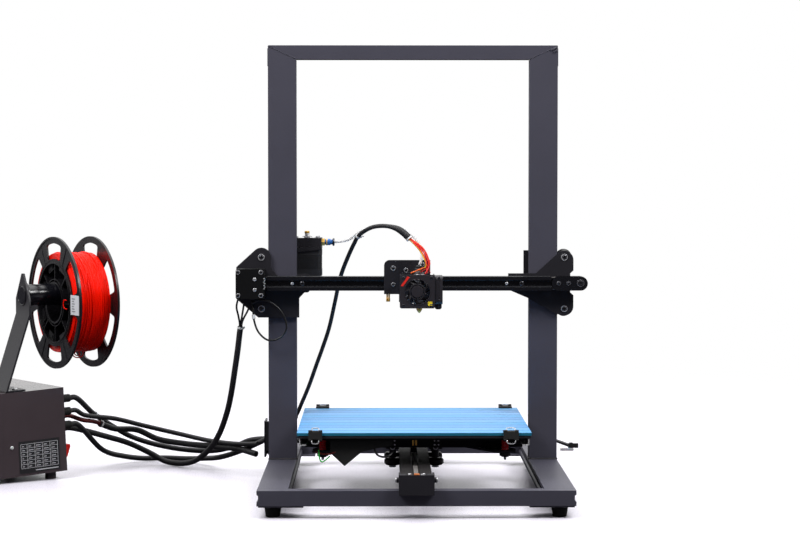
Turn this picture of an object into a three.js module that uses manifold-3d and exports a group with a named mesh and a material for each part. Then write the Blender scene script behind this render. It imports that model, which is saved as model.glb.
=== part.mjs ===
// A moving-bed FDM printer: a welded portal frame, a bed on a centre rail, a gantry with a bowden
// extruder, and a control box beside it that carries the filament spool.
// Millimetres, +X right, +Y back, +Z up. Every piece is placed from the front bottom edge of the
// base, at the middle of the printer, and the whole is then moved so that its origin is the centre
// of its footprint, on the surface that it stands on.
import * as THREE from "three";
import { mergeVertices } from "three/addons/utils/BufferGeometryUtils.js";
import Module from "manifold-3d";

const wasm = await Module();
wasm.setup();

// Driving dimensions
const GAP = 0.3; // between pieces that touch
const TUBE = { wide: 40, thin: 20, wall: 2 };
const SLOT = { mouth: 4.8, throat: 3.1, lip: 2, depth: 6 };
const FRAME = { halfWidth: 205, depth: 548, top: 607 };
const FLOOR = -16;
const UPRIGHT_Y = 309;
const FOOT = { top: 11, bottom: 9, insetX: 20, insetY: 20 };
const CORNER_PLATE = { long: 60, deep: 40, thick: 1.5 };
const RAIL = { low: 20.3, high: 40.3, halfWidth: 20, core: { half: 11, low: -6, high: 2 } };
const BRACKET = { front: -15, low: 16, high: 42, sheet: 2.5, lap: 12 };
const PULLEY = { r: 5.5, half: 4.5, y: -6.3, z: 31.5 }; // the bed belt's, front and rear
const ROLL = 9.5; // from a wheel's axis to the face that it rolls beside
const WHEEL = { rim: 9.2, tread: 11.4, half: 5, flat: 2.4, bore: 2.8 };
const BOLT = 2.5;
const BED = { x: -1.5, y: 242, size: 310, top: 84, glass: 4, plate: 3, spring: 121.7 };
const CARRIAGE = { low: 54, high: 57, wheelY: 30, reach: 128 };
const BEAM = { low: 261.5, high: 281.5, front: 283, back: 303, left: -206, right: 195 };
const PLATE = 3;
const PLATE_Y = BEAM.back + GAP;
const BACK_PLATE_Y = 332;
const Z_WHEEL = { rise: 36.5, mid: 271.5 };
const MOTOR = { width: 42, long: 38, corner: 4 };
const X_MOTOR = { x: -228, z: 271.5, coverEnd: 19.5, coverFront: 272, notch: 8.5 };
const SCREW = { x: -189, y: 354, r: 4, low: 66, high: 512 };
const EXTRUDER = { x: -151, y: 356, top: 318 };
const HOTEND = { x: 8, y: 252, tip: 232 };
const SHROUD = { left: -19, right: 29, low: 240, high: 286, front: 225, back: 268, sheet: 1.2 };
const FAN = { x: 5, z: 263, duct: 18, hub: 8.5, blades: 7 };
const BOX = { x: -500.5, y: 372.8, z: -4, yaw: 35, tilt: 2.6, long: 215, wide: 170, high: 121.5, wall: 2 };
const SPOOL = { flange: 95.8, bore: 28, hub: 60, half: 30, wall: 3, sleeve: 2.5, web: 1.5, filament: 73 };
const HOLDER = {
  z: 251, r: 15.6, x: -562.1, y: 361.3, yaw: 31.5, tab: 5, long: 120, width: 50, lean: 36, spoolAt: 78.8,
};

const TAU = Math.PI * 2;
const UP = new THREE.Vector3(0, 0, 1);

// Geometry helpers

function boxAt(x0, x1, y0, y1, z0, z1) {
  const box = new THREE.BoxGeometry(x1 - x0, y1 - y0, z1 - z0);
  return box.translate((x0 + x1) / 2, (y0 + y1) / 2, (z0 + z1) / 2);
}

// A cylinder from start to start + along, both Vector3s.
function rod(radius, start, along, sides = 20, endRadius = radius) {
  const long = along.length();
  const turn = new THREE.Quaternion().setFromUnitVectors(UP, along.clone().normalize());
  const g = new THREE.CylinderGeometry(endRadius, radius, long, sides);
  g.rotateX(Math.PI / 2).translate(0, 0, long / 2);
  return g.applyQuaternion(turn).translate(...start.toArray());
}

function rodX(radius, x0, x1, y, z, sides) {
  return rod(radius, new THREE.Vector3(x0, y, z), new THREE.Vector3(x1 - x0, 0, 0), sides);
}

function rodY(radius, y0, y1, x, z, sides) {
  return rod(radius, new THREE.Vector3(x, y0, z), new THREE.Vector3(0, y1 - y0, 0), sides);
}

function rodZ(radius, z0, z1, x, y, sides, endRadius) {
  return rod(radius, new THREE.Vector3(x, y, z0), new THREE.Vector3(0, 0, z1 - z0), sides, endRadius);
}

function polygon(points) {
  return new THREE.Shape(points.map(([x, y]) => new THREE.Vector2(x, y)));
}

function roundedRect(x0, x1, y0, y1, r) {
  const s = new THREE.Shape();
  s.moveTo(x0 + r, y0);
  s.lineTo(x1 - r, y0);
  s.absarc(x1 - r, y0 + r, r, -Math.PI / 2, 0);
  s.lineTo(x1, y1 - r);
  s.absarc(x1 - r, y1 - r, r, 0, Math.PI / 2);
  s.lineTo(x0 + r, y1);
  s.absarc(x0 + r, y1 - r, r, Math.PI / 2, Math.PI);
  s.lineTo(x0, y0 + r);
  s.absarc(x0 + r, y0 + r, r, Math.PI, Math.PI * 1.5);
  return s;
}

function extrude(shape, long, curveSegments = 5) {
  return new THREE.ExtrudeGeometry(shape, { depth: long, bevelEnabled: false, curveSegments });
}

// A flat plate whose outline is drawn in X and Z, from y0 to y1.
function plateXZ(shape, y0, y1, curveSegments) {
  return extrude(shape, y1 - y0, curveSegments).rotateX(Math.PI / 2).translate(0, y1, 0);
}

// A flat plate whose outline is drawn in X and Y, from z0 to z1.
function plateXY(shape, z0, z1, curveSegments) {
  return extrude(shape, z1 - z0, curveSegments).translate(0, 0, z0);
}

// A plate drawn in Y and Z, from x0 to x1.
function plateYZ(shape, x0, x1, curveSegments) {
  const flat = extrude(shape, x1 - x0, curveSegments);
  return flat.rotateX(Math.PI / 2).rotateZ(Math.PI / 2).translate(x0, 0, 0);
}

function toSolid(geometry) {
  const bare = new THREE.BufferGeometry();
  bare.setAttribute("position", geometry.getAttribute("position"));
  if (geometry.index) {
    bare.setIndex(geometry.index);
  }
  const merged = mergeVertices(bare, 1e-4);
  const vertProperties = new Float32Array(merged.getAttribute("position").array);
  const triVerts = new Uint32Array(merged.index.array);
  return new wasm.Manifold(new wasm.Mesh({ numProp: 3, vertProperties, triVerts }));
}

function fromSolid(solid) {
  const mesh = solid.getMesh();
  const g = new THREE.BufferGeometry();
  g.setAttribute("position", new THREE.BufferAttribute(new Float32Array(mesh.vertProperties), 3));
  g.setIndex([...mesh.triVerts]);
  g.computeVertexNormals();
  return g;
}

function fuse(...pieces) {
  return fromSolid(pieces.map(toSolid).reduce((a, b) => a.add(b)));
}

function cut(body, ...tools) {
  return fromSolid(tools.map(toSolid).reduce((a, b) => a.subtract(b), toSolid(body)));
}

// One side of a slotted section, as [along, inward] points, with or without its slot.
function sidePoints(long, slotted) {
  const groove = [
    [-SLOT.mouth, 0],
    [-SLOT.throat, SLOT.lip],
    [-SLOT.throat, SLOT.depth],
    [SLOT.throat, SLOT.depth],
    [SLOT.throat, SLOT.lip],
    [SLOT.mouth, 0],
  ];
  return [[-long / 2, 0], ...(slotted ? groove : [])];
}

// The section of a slotted tube, width by height. Its core is { half, low, high } from its middle, or null.
function slottedShape(width, height, { right, top, left, bottom }, core) {
  const at = (side, place) => sidePoints(...side).map(place);
  const shape = polygon([
    ...at([width, bottom], ([s, d]) => [s, -height / 2 + d]),
    ...at([height, right], ([s, d]) => [width / 2 - d, s]),
    ...at([width, top], ([s, d]) => [-s, height / 2 - d]),
    ...at([height, left], ([s, d]) => [-width / 2 + d, -s]),
  ]);
  if (core) {
    const { half, low, high } = core;
    const corners = [[-half, low], [-half, high], [half, high], [half, low]];
    shape.holes.push(new THREE.Path(corners.map((p) => new THREE.Vector2(...p))));
  }
  return shape;
}

const SIDES = { left: true, right: true };
const CORE = {
  half: TUBE.wide / 2 - SLOT.depth - TUBE.wall,
  low: TUBE.wall - TUBE.thin / 2,
  high: TUBE.thin / 2 - TUBE.wall,
};

// A 40 by 20 tube with a slot in each narrow side, along +Z.
function frameTube(long) {
  return extrude(slottedShape(TUBE.wide, TUBE.thin, SIDES, CORE), long);
}

// A V wheel on an axis through the origin, along Z.
function wheelGeometry() {
  const { rim, tread, half, flat, bore } = WHEEL;
  const shoulder = flat + (tread - rim);
  const profile = [
    [bore, -half],
    [rim, -half],
    [rim, -shoulder],
    [tread, -flat],
    [tread, flat],
    [rim, shoulder],
    [rim, half],
    [bore, half],
    [bore, -half],
  ];
  return new THREE.LatheGeometry(profile.map((p) => new THREE.Vector2(...p)), 14).rotateX(Math.PI / 2);
}

// A stepper motor with its face at the origin, its body along -Z and its shaft along +Z.
function motorGeometry(long, shaft) {
  const h = MOTOR.width / 2;
  const body = plateXY(roundedRect(-h, h, -h, h, MOTOR.corner), -long, 0, 2);
  return fuse(body, rodZ(11, -1, 1.8, 0, 0, 16), rodZ(2.5, 0, shaft, 0, 0, 8));
}

function cord(points, diameter, sides, steps) {
  const places = points.map((p) => new THREE.Vector3(...p));
  const curve = new THREE.CatmullRomCurve3(places, false, "centripetal");
  const ring = [];
  for (let i = 0; i < sides; i += 1) {
    const a = (i / sides) * TAU;
    ring.push([(diameter / 2) * Math.cos(a), (diameter / 2) * Math.sin(a)]);
  }
  return new THREE.ExtrudeGeometry(polygon(ring), { steps, extrudePath: curve, bevelEnabled: false });
}

// Assembly

const printer = new THREE.Group();
const place = new THREE.Group();
printer.add(place);
const boxGroup = new THREE.Group();
boxGroup.position.set(BOX.x, BOX.y, BOX.z);
boxGroup.rotation.set(0, THREE.MathUtils.degToRad(-BOX.tilt), THREE.MathUtils.degToRad(BOX.yaw), "ZYX");
boxGroup.updateMatrix();
place.add(boxGroup);

const PAINT = [0x3b3a42, 0.45, 0.3];
const BLACK = [0x16161a, 0.4, 0.4];
const PLASTIC = [0x1a1a1c, 0.55, 0];
const STEEL = [0x9a9ba0, 0.35, 0.9];
const BRASS = [0xb08a45, 0.35, 0.9];
const RUBBER = [0x141414, 0.85, 0];
const SLEEVE = [0x111113, 0.8, 0];
const NYLON = [0x202022, 0.5, 0];

function add(name, geometry, [color, roughness, metalness], parent = place) {
  const mesh = new THREE.Mesh(geometry, new THREE.MeshStandardMaterial({ color, roughness, metalness }));
  mesh.name = name;
  parent.add(mesh);
  return mesh;
}

// The front and rear beams run the full width, with flat outer faces, open undersides, the side
// beams' outer slots carried round their ends, and a thin plate under each corner.
function crossBeam() {
  const out = FRAME.halfWidth;
  const deep = TUBE.thin;
  const bar = boxAt(-out, out, 0, deep, 0, deep);
  const channel = boxAt(-out + 30, out - 30, TUBE.wall, deep - TUBE.wall, -1, deep - TUBE.wall);
  const groove = [[0, -SLOT.mouth], [0, SLOT.mouth], [-SLOT.lip, SLOT.throat], [-SLOT.lip, -SLOT.throat]];
  const notches = [-1, 1].map((sign) => {
    const corners = groove.map(([x, z]) => [sign * (out + x), deep / 2 + z]);
    return plateXZ(polygon(corners), -1, deep + 1);
  });
  const plates = [-1, 1].map((sign) => {
    const [near, far] = [sign * (out - CORNER_PLATE.long), sign * (out - 2)].sort((a, b) => a - b);
    const sheet = boxAt(near, far, 1, CORNER_PLATE.deep, -GAP - CORNER_PLATE.thick, -GAP);
    return fuse(sheet, boxAt(near, far, 1, deep, -GAP - 0.5, 0.5));
  });
  return fuse(cut(bar, channel, ...notches), ...plates);
}

function addBase() {
  const across = FRAME.halfWidth - TUBE.wide / 2;
  const low = TUBE.thin + GAP;
  const long = FRAME.depth - 2 * low;
  for (const [side, sign] of [["left", -1], ["right", 1]]) {
    const beam = frameTube(long).rotateX(-Math.PI / 2).translate(sign * across, low, TUBE.thin / 2);
    add(`base_beam_${side}`, beam, PAINT);
  }
  add("base_beam_front", crossBeam(), PAINT);
  add("base_beam_rear", crossBeam().rotateZ(Math.PI).translate(0, FRAME.depth, 0), PAINT);
  const footTop = -CORNER_PLATE.thick - 2 * GAP;
  for (const [end, y] of [["front", FOOT.insetY], ["rear", FRAME.depth - FOOT.insetY]]) {
    for (const [side, sign] of [["left", -1], ["right", 1]]) {
      const x = sign * (FRAME.halfWidth - FOOT.insetX);
      add(`foot_${end}_${side}`, rodZ(FOOT.bottom, FLOOR, footTop, x, y, 20, FOOT.top), RUBBER);
    }
  }
}

// The uprights and the top beam meet on a mitre that runs from the outer top corner to the inner one.
function addPortal() {
  const out = FRAME.halfWidth;
  const inner = out - TUBE.wide;
  const low = TUBE.thin + GAP;
  const top = FRAME.top;
  const back = UPRIGHT_Y + TUBE.thin;
  const under = top - TUBE.thin;
  const mitre = [[out + 1, top + 0.5], [out + 1, top + 5], [inner - 1, top + 5], [inner - 1, under - 0.5]];
  for (const [side, sign] of [["left", -1], ["right", 1]]) {
    const tube = frameTube(top - low);
    tube.translate(sign * (out - TUBE.wide / 2), UPRIGHT_Y + TUBE.thin / 2, low);
    const wedge = polygon(mitre.map(([x, z]) => [sign * x, z]));
    add(`upright_${side}`, cut(tube, plateXZ(wedge, UPRIGHT_Y - 1, back + 1)), PAINT);
  }
  const outline = [[-out, top], [-inner, under], [inner, under], [out, top]];
  const core = [[-inner, top - 4], [-inner + 4, under + 2], [inner - 4, under + 2], [inner, top - 4]];
  const beam = plateXZ(polygon(outline), UPRIGHT_Y, back).translate(0, 0, GAP);
  const hollow = plateXZ(polygon(core), UPRIGHT_Y + TUBE.wall, back - TUBE.wall);
  const mouth = boxAt(-inner, inner, back - 3, back + 1, top - 13, top - 7);
  add("top_beam", cut(beam, hollow, mouth), PAINT);
}

function addRail() {
  const open = { left: true, right: true, top: true };
  const { low, high, halfWidth, core } = RAIL;
  const rail = extrude(slottedShape(2 * halfWidth, high - low, open, core), FRAME.depth);
  rail.rotateX(Math.PI / 2).translate(0, FRAME.depth, (low + high) / 2);
  add("y_rail", rail, BLACK);
  const { front, low: bottom, high: top, sheet, lap } = BRACKET;
  const side = halfWidth + GAP;
  const cheeks = [-side - sheet, side].map((x) => boxAt(x, x + sheet, -1, lap, low + GAP, top));
  const caps = [-1, 1].map((sign) => rodX(3.5, sign * (side + 2), sign * (side + 5.5), lap / 2, 33, 16));
  const shell = fuse(boxAt(-side - sheet, side + sheet, front, -GAP, bottom, top), ...cheeks, ...caps);
  const pocket = boxAt(-14, 14, front + sheet, 1, low, top + 1);
  const wheel = rodX(PULLEY.r, -PULLEY.half, PULLEY.half, PULLEY.y, PULLEY.z, 20);
  const axle = rodX(2, -16, 16, PULLEY.y, PULLEY.z, 12);
  add("rail_front_bracket", fuse(cut(shell, pocket), wheel, axle), PAINT);
  addBedMotor();
}

// The bed's motor hangs behind the rail, with its shaft across and its pulley in line with the front one.
function addBedMotor() {
  const half = MOTOR.width / 2;
  const y = FRAME.depth + 24;
  const { r, half: reach, z } = PULLEY;
  const face = 12;
  const motor = motorGeometry(MOTOR.long, face + reach + 1).rotateY(-Math.PI / 2).translate(face, y, z);
  const plate = boxAt(face - 3, face + 0.5, y - half, y + half, z - half, z + half);
  const near = FRAME.depth + GAP;
  const arm = boxAt(face - 3, face + 0.5, near, y, RAIL.low + GAP, RAIL.high);
  const foot = boxAt(-18, face, near, near + 2.7, RAIL.low + GAP, RAIL.high);
  const beltRoom = boxAt(-reach, reach, near - 1, near + 4, RAIL.low + 3, RAIL.high + 1);
  const toothed = rodX(r, -reach, reach, y, z, 20);
  add("y_motor", fuse(cut(fuse(arm, foot), beltRoom), motor, plate, toothed), BLACK);
}

function addZDrive() {
  const { x, y, r, low, high } = SCREW;
  const motor = motorGeometry(MOTOR.long, 14).translate(x, y, 62.3);
  const near = UPRIGHT_Y + TUBE.thin + GAP;
  const deck = cut(boxAt(x - 21, x + 21, near, y + 21, 62.3, 65), rodZ(14, 60, 67, x, y, 24));
  const wall = boxAt(x - 23.5, x - 21, near, y + 21, 20.6, 72);
  const back = boxAt(x - 23.5, x + 21, near, y - 21.5, 30, 72);
  const collar = rodZ(11.3, 61, 64.5, x, y, 24);
  const bridge = boxAt(x - 15, x + 15, y - 4, y + 4, 62.5, 65);
  add("z_motor", fuse(motor, deck, wall, back, collar, bridge), BLACK);
  const shaftHole = rodZ(2.8, low - 1, low + 11.5, x, y, 12);
  const coupler = cut(rodZ(9.5, low, low + 25, x, y, 20), shaftHole);
  add("z_lead_screw", fuse(coupler, rodZ(r, low + 20, high, x, y, 16)), STEEL);
}

function addBed() {
  const { x, y, size, top, glass, plate, spring } = BED;
  const { low, high, wheelY, reach } = CARRIAGE;
  const half = size / 2;
  const glassLow = top - glass;
  const square = (r) => roundedRect(x - half, x + half, y - half, y + half, r);
  add("bed_surface", plateXY(square(2), glassLow, top, 3), [0x2f7fae, 0.6, 0]);
  add("heated_plate", plateXY(square(3), glassLow - GAP - plate, glassLow - GAP, 3), BLACK);
  // The carriage is an H: two arms that reach the springs, and a wide bar between them.
  const arm = 14;
  const pieces = [boxAt(x - 95, x + 95, y - 72, y + 72, low, high)];
  const holes = [];
  const axles = [];
  for (const sx of [-1, 1]) {
    const tip = x + sx * spring;
    const leg = polygon([
      [x + sx * 70, y - 72],
      [tip - sx * arm, y - reach],
      [tip + sx * arm, y - reach],
      [tip + sx * arm, y - reach + 2 * arm],
      [x + sx * 95, y - 30],
      [x + sx * 95, y + 30],
      [tip + sx * arm, y + reach - 2 * arm],
      [tip + sx * arm, y + reach],
      [tip - sx * arm, y + reach],
      [x + sx * 70, y + 72],
    ]);
    pieces.push(plateXY(leg, low, high));
    for (const sy of [-1, 1]) {
      holes.push(rodZ(2.8, low - 1, high + 1, tip, y + sy * spring, 12));
      const wx = sx * (RAIL.halfWidth + ROLL);
      axles.push(rodZ(5, 36, low + 1, wx, y + sy * wheelY, 8));
      axles.push(rodZ(BOLT, 24, 37, wx, y + sy * wheelY, 8));
    }
  }
  add("y_carriage_plate", fuse(cut(fuse(...pieces), ...holes), ...axles), BLACK);
  for (const [end, sy] of [["front", -1], ["rear", 1]]) {
    for (const [side, sx] of [["left", -1], ["right", 1]]) {
      const kx = x + sx * spring;
      const ky = y + sy * spring;
      const thread = rodZ(2, 38, glassLow - plate - 2 * GAP, kx, ky, 8);
      const knob = fuse(rodZ(7.5, 45, low - GAP, kx, ky, 16), thread);
      add(`leveling_knob_${end}_${side}`, knob, PLASTIC);
      const wheel = wheelGeometry().translate(sx * (RAIL.halfWidth + ROLL), y + sy * wheelY, 30.3);
      add(`bed_wheel_${end}_${side}`, wheel, NYLON);
    }
  }
}

// The gantry's front plates: the left one also carries the motor, the right one the beam's free end.
function frontPlateLeft() {
  const s = new THREE.Shape();
  s.moveTo(-250, 249);
  s.lineTo(-219, 222.5);
  s.lineTo(-161, 222.5);
  s.lineTo(-161, 250);
  s.lineTo(-149, 263);
  s.lineTo(-193, 283);
  s.lineTo(-201, 294);
  s.lineTo(-201, 308);
  s.absarc(-214.5, 308, 13.5, 0, Math.PI * 0.75);
  s.lineTo(-250, 294);
  return s;
}

function frontPlateRight() {
  const s = new THREE.Shape();
  s.moveTo(135, 262);
  s.lineTo(163, 250);
  s.lineTo(204, 226.5);
  s.absarc(214.5, 238, 13, Math.PI * 1.3, Math.PI * 2);
  s.lineTo(227.5, 254);
  s.lineTo(223, 258);
  s.lineTo(223, 285);
  s.lineTo(227.5, 289);
  s.lineTo(227.5, 304);
  s.absarc(214.5, 304, 13, 0, Math.PI * 0.75);
  s.lineTo(174, 285);
  s.lineTo(135, 285);
  return s;
}

function wheelPlaces(sign) {
  const outer = sign * (FRAME.halfWidth + ROLL);
  const inner = sign * (FRAME.halfWidth - TUBE.wide - ROLL);
  return [
    ["top", outer, Z_WHEEL.mid + Z_WHEEL.rise],
    ["bottom", outer, Z_WHEEL.mid - Z_WHEEL.rise],
    ["inner", inner, Z_WHEEL.mid],
  ];
}

function addGantryPlates() {
  const back = PLATE_Y + PLATE;
  const mid = UPRIGHT_Y + TUBE.thin / 2;
  for (const [side, sign, shape] of [["left", -1, frontPlateLeft()], ["right", 1, frontPlateRight()]]) {
    const pieces = [plateXZ(shape, PLATE_Y, back, 6)];
    if (side === "left") {
      // a lug behind the beam holds the inner wheel
      pieces.push(plateXZ(roundedRect(-165, -146, 258, 284, 4), PLATE_Y, back, 3));
    }
    for (const [name, x, z] of wheelPlaces(sign)) {
      pieces.push(rodY(5, back - 1, mid - WHEEL.half - 0.5, x, z, 8));
      pieces.push(rodY(BOLT, back - 1, mid + WHEEL.half + 2.5, x, z, 8));
      const wheel = wheelGeometry().rotateX(Math.PI / 2).translate(x, mid, z);
      add(`gantry_wheel_${side}_${name}`, wheel, NYLON);
    }
    add(`gantry_plate_${side}`, fuse(...pieces), BLACK);
  }
}

// The rear plate goes round the motor of the X axis, which sticks out behind the front plate.
const REAR_OUTLINE = [
  [-226, 226], [-166, 226], [-166, 314], [-130, 318], [-130, 321], [-204, 321], [-204, 247], [-226, 247],
];

// The left carriage's rear plate carries the lead screw's nut and the extruder's shelf.
function addGantryBackPlate() {
  const y = BACK_PLATE_Y;
  const { x: ex, y: ey, top } = EXTRUDER;
  const plate = plateXZ(polygon(REAR_OUTLINE), y, y + 3);
  const shelf = boxAt(ex - 21, ex + 21, y, ey + 21, top + GAP, top + 3);
  const lug = boxAt(SCREW.x - 12, SCREW.x + 12, y, SCREW.y + 12, 246, 250);
  const nut = rodZ(9, 240, 253, SCREW.x, SCREW.y, 16);
  const bore = rodZ(SCREW.r + GAP, 238, 255, SCREW.x, SCREW.y, 16);
  const shaft = rodZ(11.5, top - 1, top + 4, ex, ey, 24);
  add("gantry_plate_rear", cut(fuse(plate, shelf, lug, nut), bore, shaft), BLACK);
}

function addXAxis() {
  const all = { left: true, right: true, top: true, bottom: true };
  const { low, high, front, back, left, right } = BEAM;
  const beam = extrude(slottedShape(back - front, high - low, all, null), right - left);
  const turned = beam.rotateX(Math.PI / 2).rotateZ(Math.PI / 2);
  add("x_beam", turned.translate(left, (front + back) / 2, (low + high) / 2), BLACK);
  const h = MOTOR.width / 2;
  const { x, z } = X_MOTOR;
  const motor = motorGeometry(MOTOR.long, 6).rotateX(Math.PI / 2);
  motor.translate(x, PLATE_Y + PLATE + GAP + 2, z);
  const plateRoom = boxAt(x - 12, x + 12, 290, PLATE_Y + PLATE + GAP, z - 12, z + 12);
  add("x_motor", cut(motor, plateRoom), BLACK);
  const { coverEnd, coverFront, notch } = X_MOTOR;
  const shell = plateXZ(roundedRect(x - h, x + coverEnd, z - h, z + h, 3), coverFront, PLATE_Y - GAP, 3);
  const hollow = boxAt(x - h + 2, x + coverEnd + 1, coverFront + 3, PLATE_Y, z - 12, z + 12);
  const beltGap = boxAt(x + coverEnd - 3, x + coverEnd + 1, coverFront - 1, PLATE_Y, z - notch, z + notch);
  add("x_motor_cover", cut(shell, hollow, beltGap), BLACK);
  const stadium = roundedRect(right + GAP, 246, low, high, (high - low) / 2 - 0.01);
  const beltRoom = boxAt(right - 1, 236, front + 4, back - 4, low - 1, high + 1);
  const fork = cut(plateXZ(stadium, front, back, 5), beltRoom);
  const idler = rodY(7.5, front + 5, back - 5, 222, (low + high) / 2, 14);
  const pin = rodY(2, front + 1, back - 1, 222, (low + high) / 2, 8);
  add("x_idler_bracket", fuse(fork, idler, pin), BLACK);
}

function addExtruder() {
  const { x, y, top } = EXTRUDER;
  add("extruder_motor", motorGeometry(MOTOR.long, 18).translate(x, y, top), BLACK);
  const h = MOTOR.width / 2;
  const low = top + 3 + GAP;
  const body = plateXY(roundedRect(x - h, x + h, y - h, y + h, 3), low, low + 13, 3);
  const room = boxAt(x - h - 1, x + 8, y - 8, y + 6, low - 1, low + 14);
  const leverRoom = boxAt(x - h - 1, x + h - 8, y + 6, y + h + 1, low + 2, low + 14);
  const fitting = rodX(5, x + h - 1, x + h + 18, y - 11, low + 7, 16);
  const tube = rodX(2.2, x + h - 30, x + h + 20, y - 11, low + 7, 12);
  const stud = rodZ(3, low + 11, low + 21, x, y - 16, 12);
  add("extruder_body", fuse(cut(fuse(body, fitting), room, leverRoom, tube), stud), PLASTIC);
  const pivot = x + h - 12;
  const bar = boxAt(x - h, pivot, y + 6 + GAP + 1, y + h - 1, low + 3, low + 12);
  const grip = boxAt(x - h - 9, x - h + 1, y + 10, y + h - 1, low + 3, low + 12);
  add("extruder_lever", fuse(bar, grip), BLACK);
}

function addHotend() {
  const { x, y, tip } = HOTEND;
  const face = BEAM.front - 6.3;
  const s = new THREE.Shape();
  s.moveTo(-41, 257);
  s.lineTo(-20, 257);
  s.lineTo(-20, 246);
  s.lineTo(24, 246);
  s.lineTo(24, 305);
  s.lineTo(-33, 305);
  s.absarc(-33, 297, 8, Math.PI / 2, Math.PI);
  const plate = [plateXZ(s, face, face + PLATE, 4)];
  for (const [wx, wz] of [[-29, BEAM.high + ROLL], [13, BEAM.high + ROLL], [-8, BEAM.low - ROLL]]) {
    plate.push(rodY(5, face + 2, BEAM.front + 4, wx, wz, 8));
    plate.push(rodY(BOLT, face + 2, BEAM.back - 1, wx, wz, 8));
    plate.push(rodY(9, BEAM.front + 4.6, BEAM.back - 4.6, wx, wz, 14));
  }
  plate.push(boxAt(-12, 22, y + 12, face + 1, 284, 288));
  const collar = cut(fuse(...plate), rodZ(9.5, 282, 290, x, y + 3, 20));
  add("carriage_plate", collar, BLACK);
  const fins = [rodZ(4.5, 250, 293, x, y, 10), rodZ(3, 292, 298, x, y, 10)];
  for (let z = 258; z < 280; z += 7) {
    fins.push(rodZ(11, z, z + 3, x, y, 16));
  }
  fins.push(boxAt(x - 8, x + 12, y - 8, y + 8, 239.5, 251));
  fins.push(rodZ(1, tip, tip + 4, x, y, 12, 4), rodZ(4, tip + 3.5, 240, x, y, 6));
  add("hotend", fuse(...fins), BRASS);
  const { left, right, low, high, front, back, sheet } = SHROUD;
  const outer = boxAt(left, right, front, back, low, high);
  const inner = boxAt(left + sheet, right - sheet, front + 11, back + 1, low - 1, high - 8);
  const duct = rodY(FAN.duct, front - 1, front + 12, FAN.x, FAN.z, 24);
  const hubPost = rodY(FAN.hub + 0.5, front + 8, front + 11.5, FAN.x, FAN.z, 14);
  const spokes = [
    boxAt(FAN.x - 20, FAN.x + 20, front + 9, front + 11, FAN.z - 1, FAN.z + 1),
    boxAt(FAN.x - 1, FAN.x + 1, front + 9, front + 11, low + 4, high - 4),
  ];
  const outlet = boxAt(right - 1, right + 10, 236, 250, 238, 247);
  const blower = fuse(boxAt(right - 1, right + 11, 228, 268, 245, 285), outlet);
  const top = boxAt(left + 4, right - 4, front + 12, back + 1, high - 9, high + 1);
  add("fan_shroud", fuse(cut(outer, inner, duct, top), hubPost, ...spokes, blower), PLASTIC);
  const rotor = [rodY(FAN.hub, front + 1, front + 7, FAN.x, FAN.z, 20)];
  for (let i = 0; i < FAN.blades; i += 1) {
    const blade = boxAt(1 - FAN.duct, -8, -2.5, 2.5, -0.5, 0.5).rotateX(0.7);
    rotor.push(blade.rotateY((i / FAN.blades) * TAU).translate(FAN.x, front + 4, FAN.z));
  }
  add("fan_rotor", fuse(...rotor), PLASTIC);
}

// Control box: x runs along the label side to the connector end at x = 0, y away from the label side.
const SOCKETS = { motorY: [30, 101], motorZ: [30, 82], bed: [52, 72], motorX: [52, 54], hotend: [30, 62] };
const SOCKET_LONG = 24;

function addControlBox() {
  const { long, wide, high, wall } = BOX;
  const top = boxAt(-long, 0, 0, wide, high - wall, high);
  const near = boxAt(-long, 0, 0, wall, 0, high);
  const far = boxAt(-long, 0, wide - wall, wide, 0, high);
  add("control_box_cover", fuse(top, near, far), PAINT, boxGroup);
  const inY = wall + GAP;
  const roof = high - wall - GAP;
  const rocker = { y: 15, z: 27.5, halfY: 7, halfZ: 11 };
  const tray = boxAt(-long, 0, inY, wide - inY, 0, wall);
  const end = boxAt(-wall, 0, inY, wide - inY, 0, roof);
  const front = boxAt(-long, -long + wall, inY, wide - inY, 0, roof);
  const { y: ry, z: rz, halfY, halfZ } = rocker;
  const hole = boxAt(-5, 5, ry - halfY, ry + halfY, rz - halfZ, rz + halfZ);
  const glands = Object.values(SOCKETS).map(([y, z]) => rodX(5.6, -wall, SOCKET_LONG, y, z, 10));
  const knobHole = rodX(4, -long - 2, -long + 4, 130, 45, 16);
  const chassis = cut(fuse(tray, end, front, ...glands), hole, knobHole);
  const world = chassis.applyMatrix4(boxGroup.matrix);
  // The feet stand upright on the surface, so they are drawn in the printer's own frame.
  const feet = [];
  for (const fx of [-18, -long + 18]) {
    for (const fy of [18, wide - 18]) {
      const at = new THREE.Vector3(fx, fy, wall / 2).applyMatrix4(boxGroup.matrix);
      feet.push(rodZ(8, FLOOR, at.z, at.x, at.y, 12));
    }
  }
  add("control_box_chassis", fuse(world, ...feet), PAINT);
  const rock = boxAt(-8, 3, ry - 6.4, ry + 6.4, rz - 9.6, rz + 9.6);
  add("rocker_switch", rock, [0xa01c14, 0.4, 0], boxGroup);
  const shaft = rodX(3, -long - 2, -long + 12, 130, 45, 8);
  const knob = fuse(rodX(11, -long - 16, -long - 1, 130, 45, 20), shaft);
  add("control_knob", knob, PLASTIC, boxGroup);
  const supply = boxAt(-175, -25, 14, 112, wall + GAP, 46);
  add("power_supply", supply, [0xb9bcc0, 0.35, 0.8], boxGroup);
  const sheet = boxAt(-160, -50, wide - 12, wide - 10.4, 24, 110);
  const board = [sheet, boxAt(-140, -110, wide - 20, wide - 12, 50, 80)];
  for (const bx of [-155, -55]) {
    for (const bz of [29, 105]) {
      board.push(rodY(3, wide - 11, wide - wall - GAP, bx, bz, 10));
    }
  }
  add("mainboard", fuse(...board), [0x1c5a34, 0.5, 0], boxGroup);
}

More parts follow.
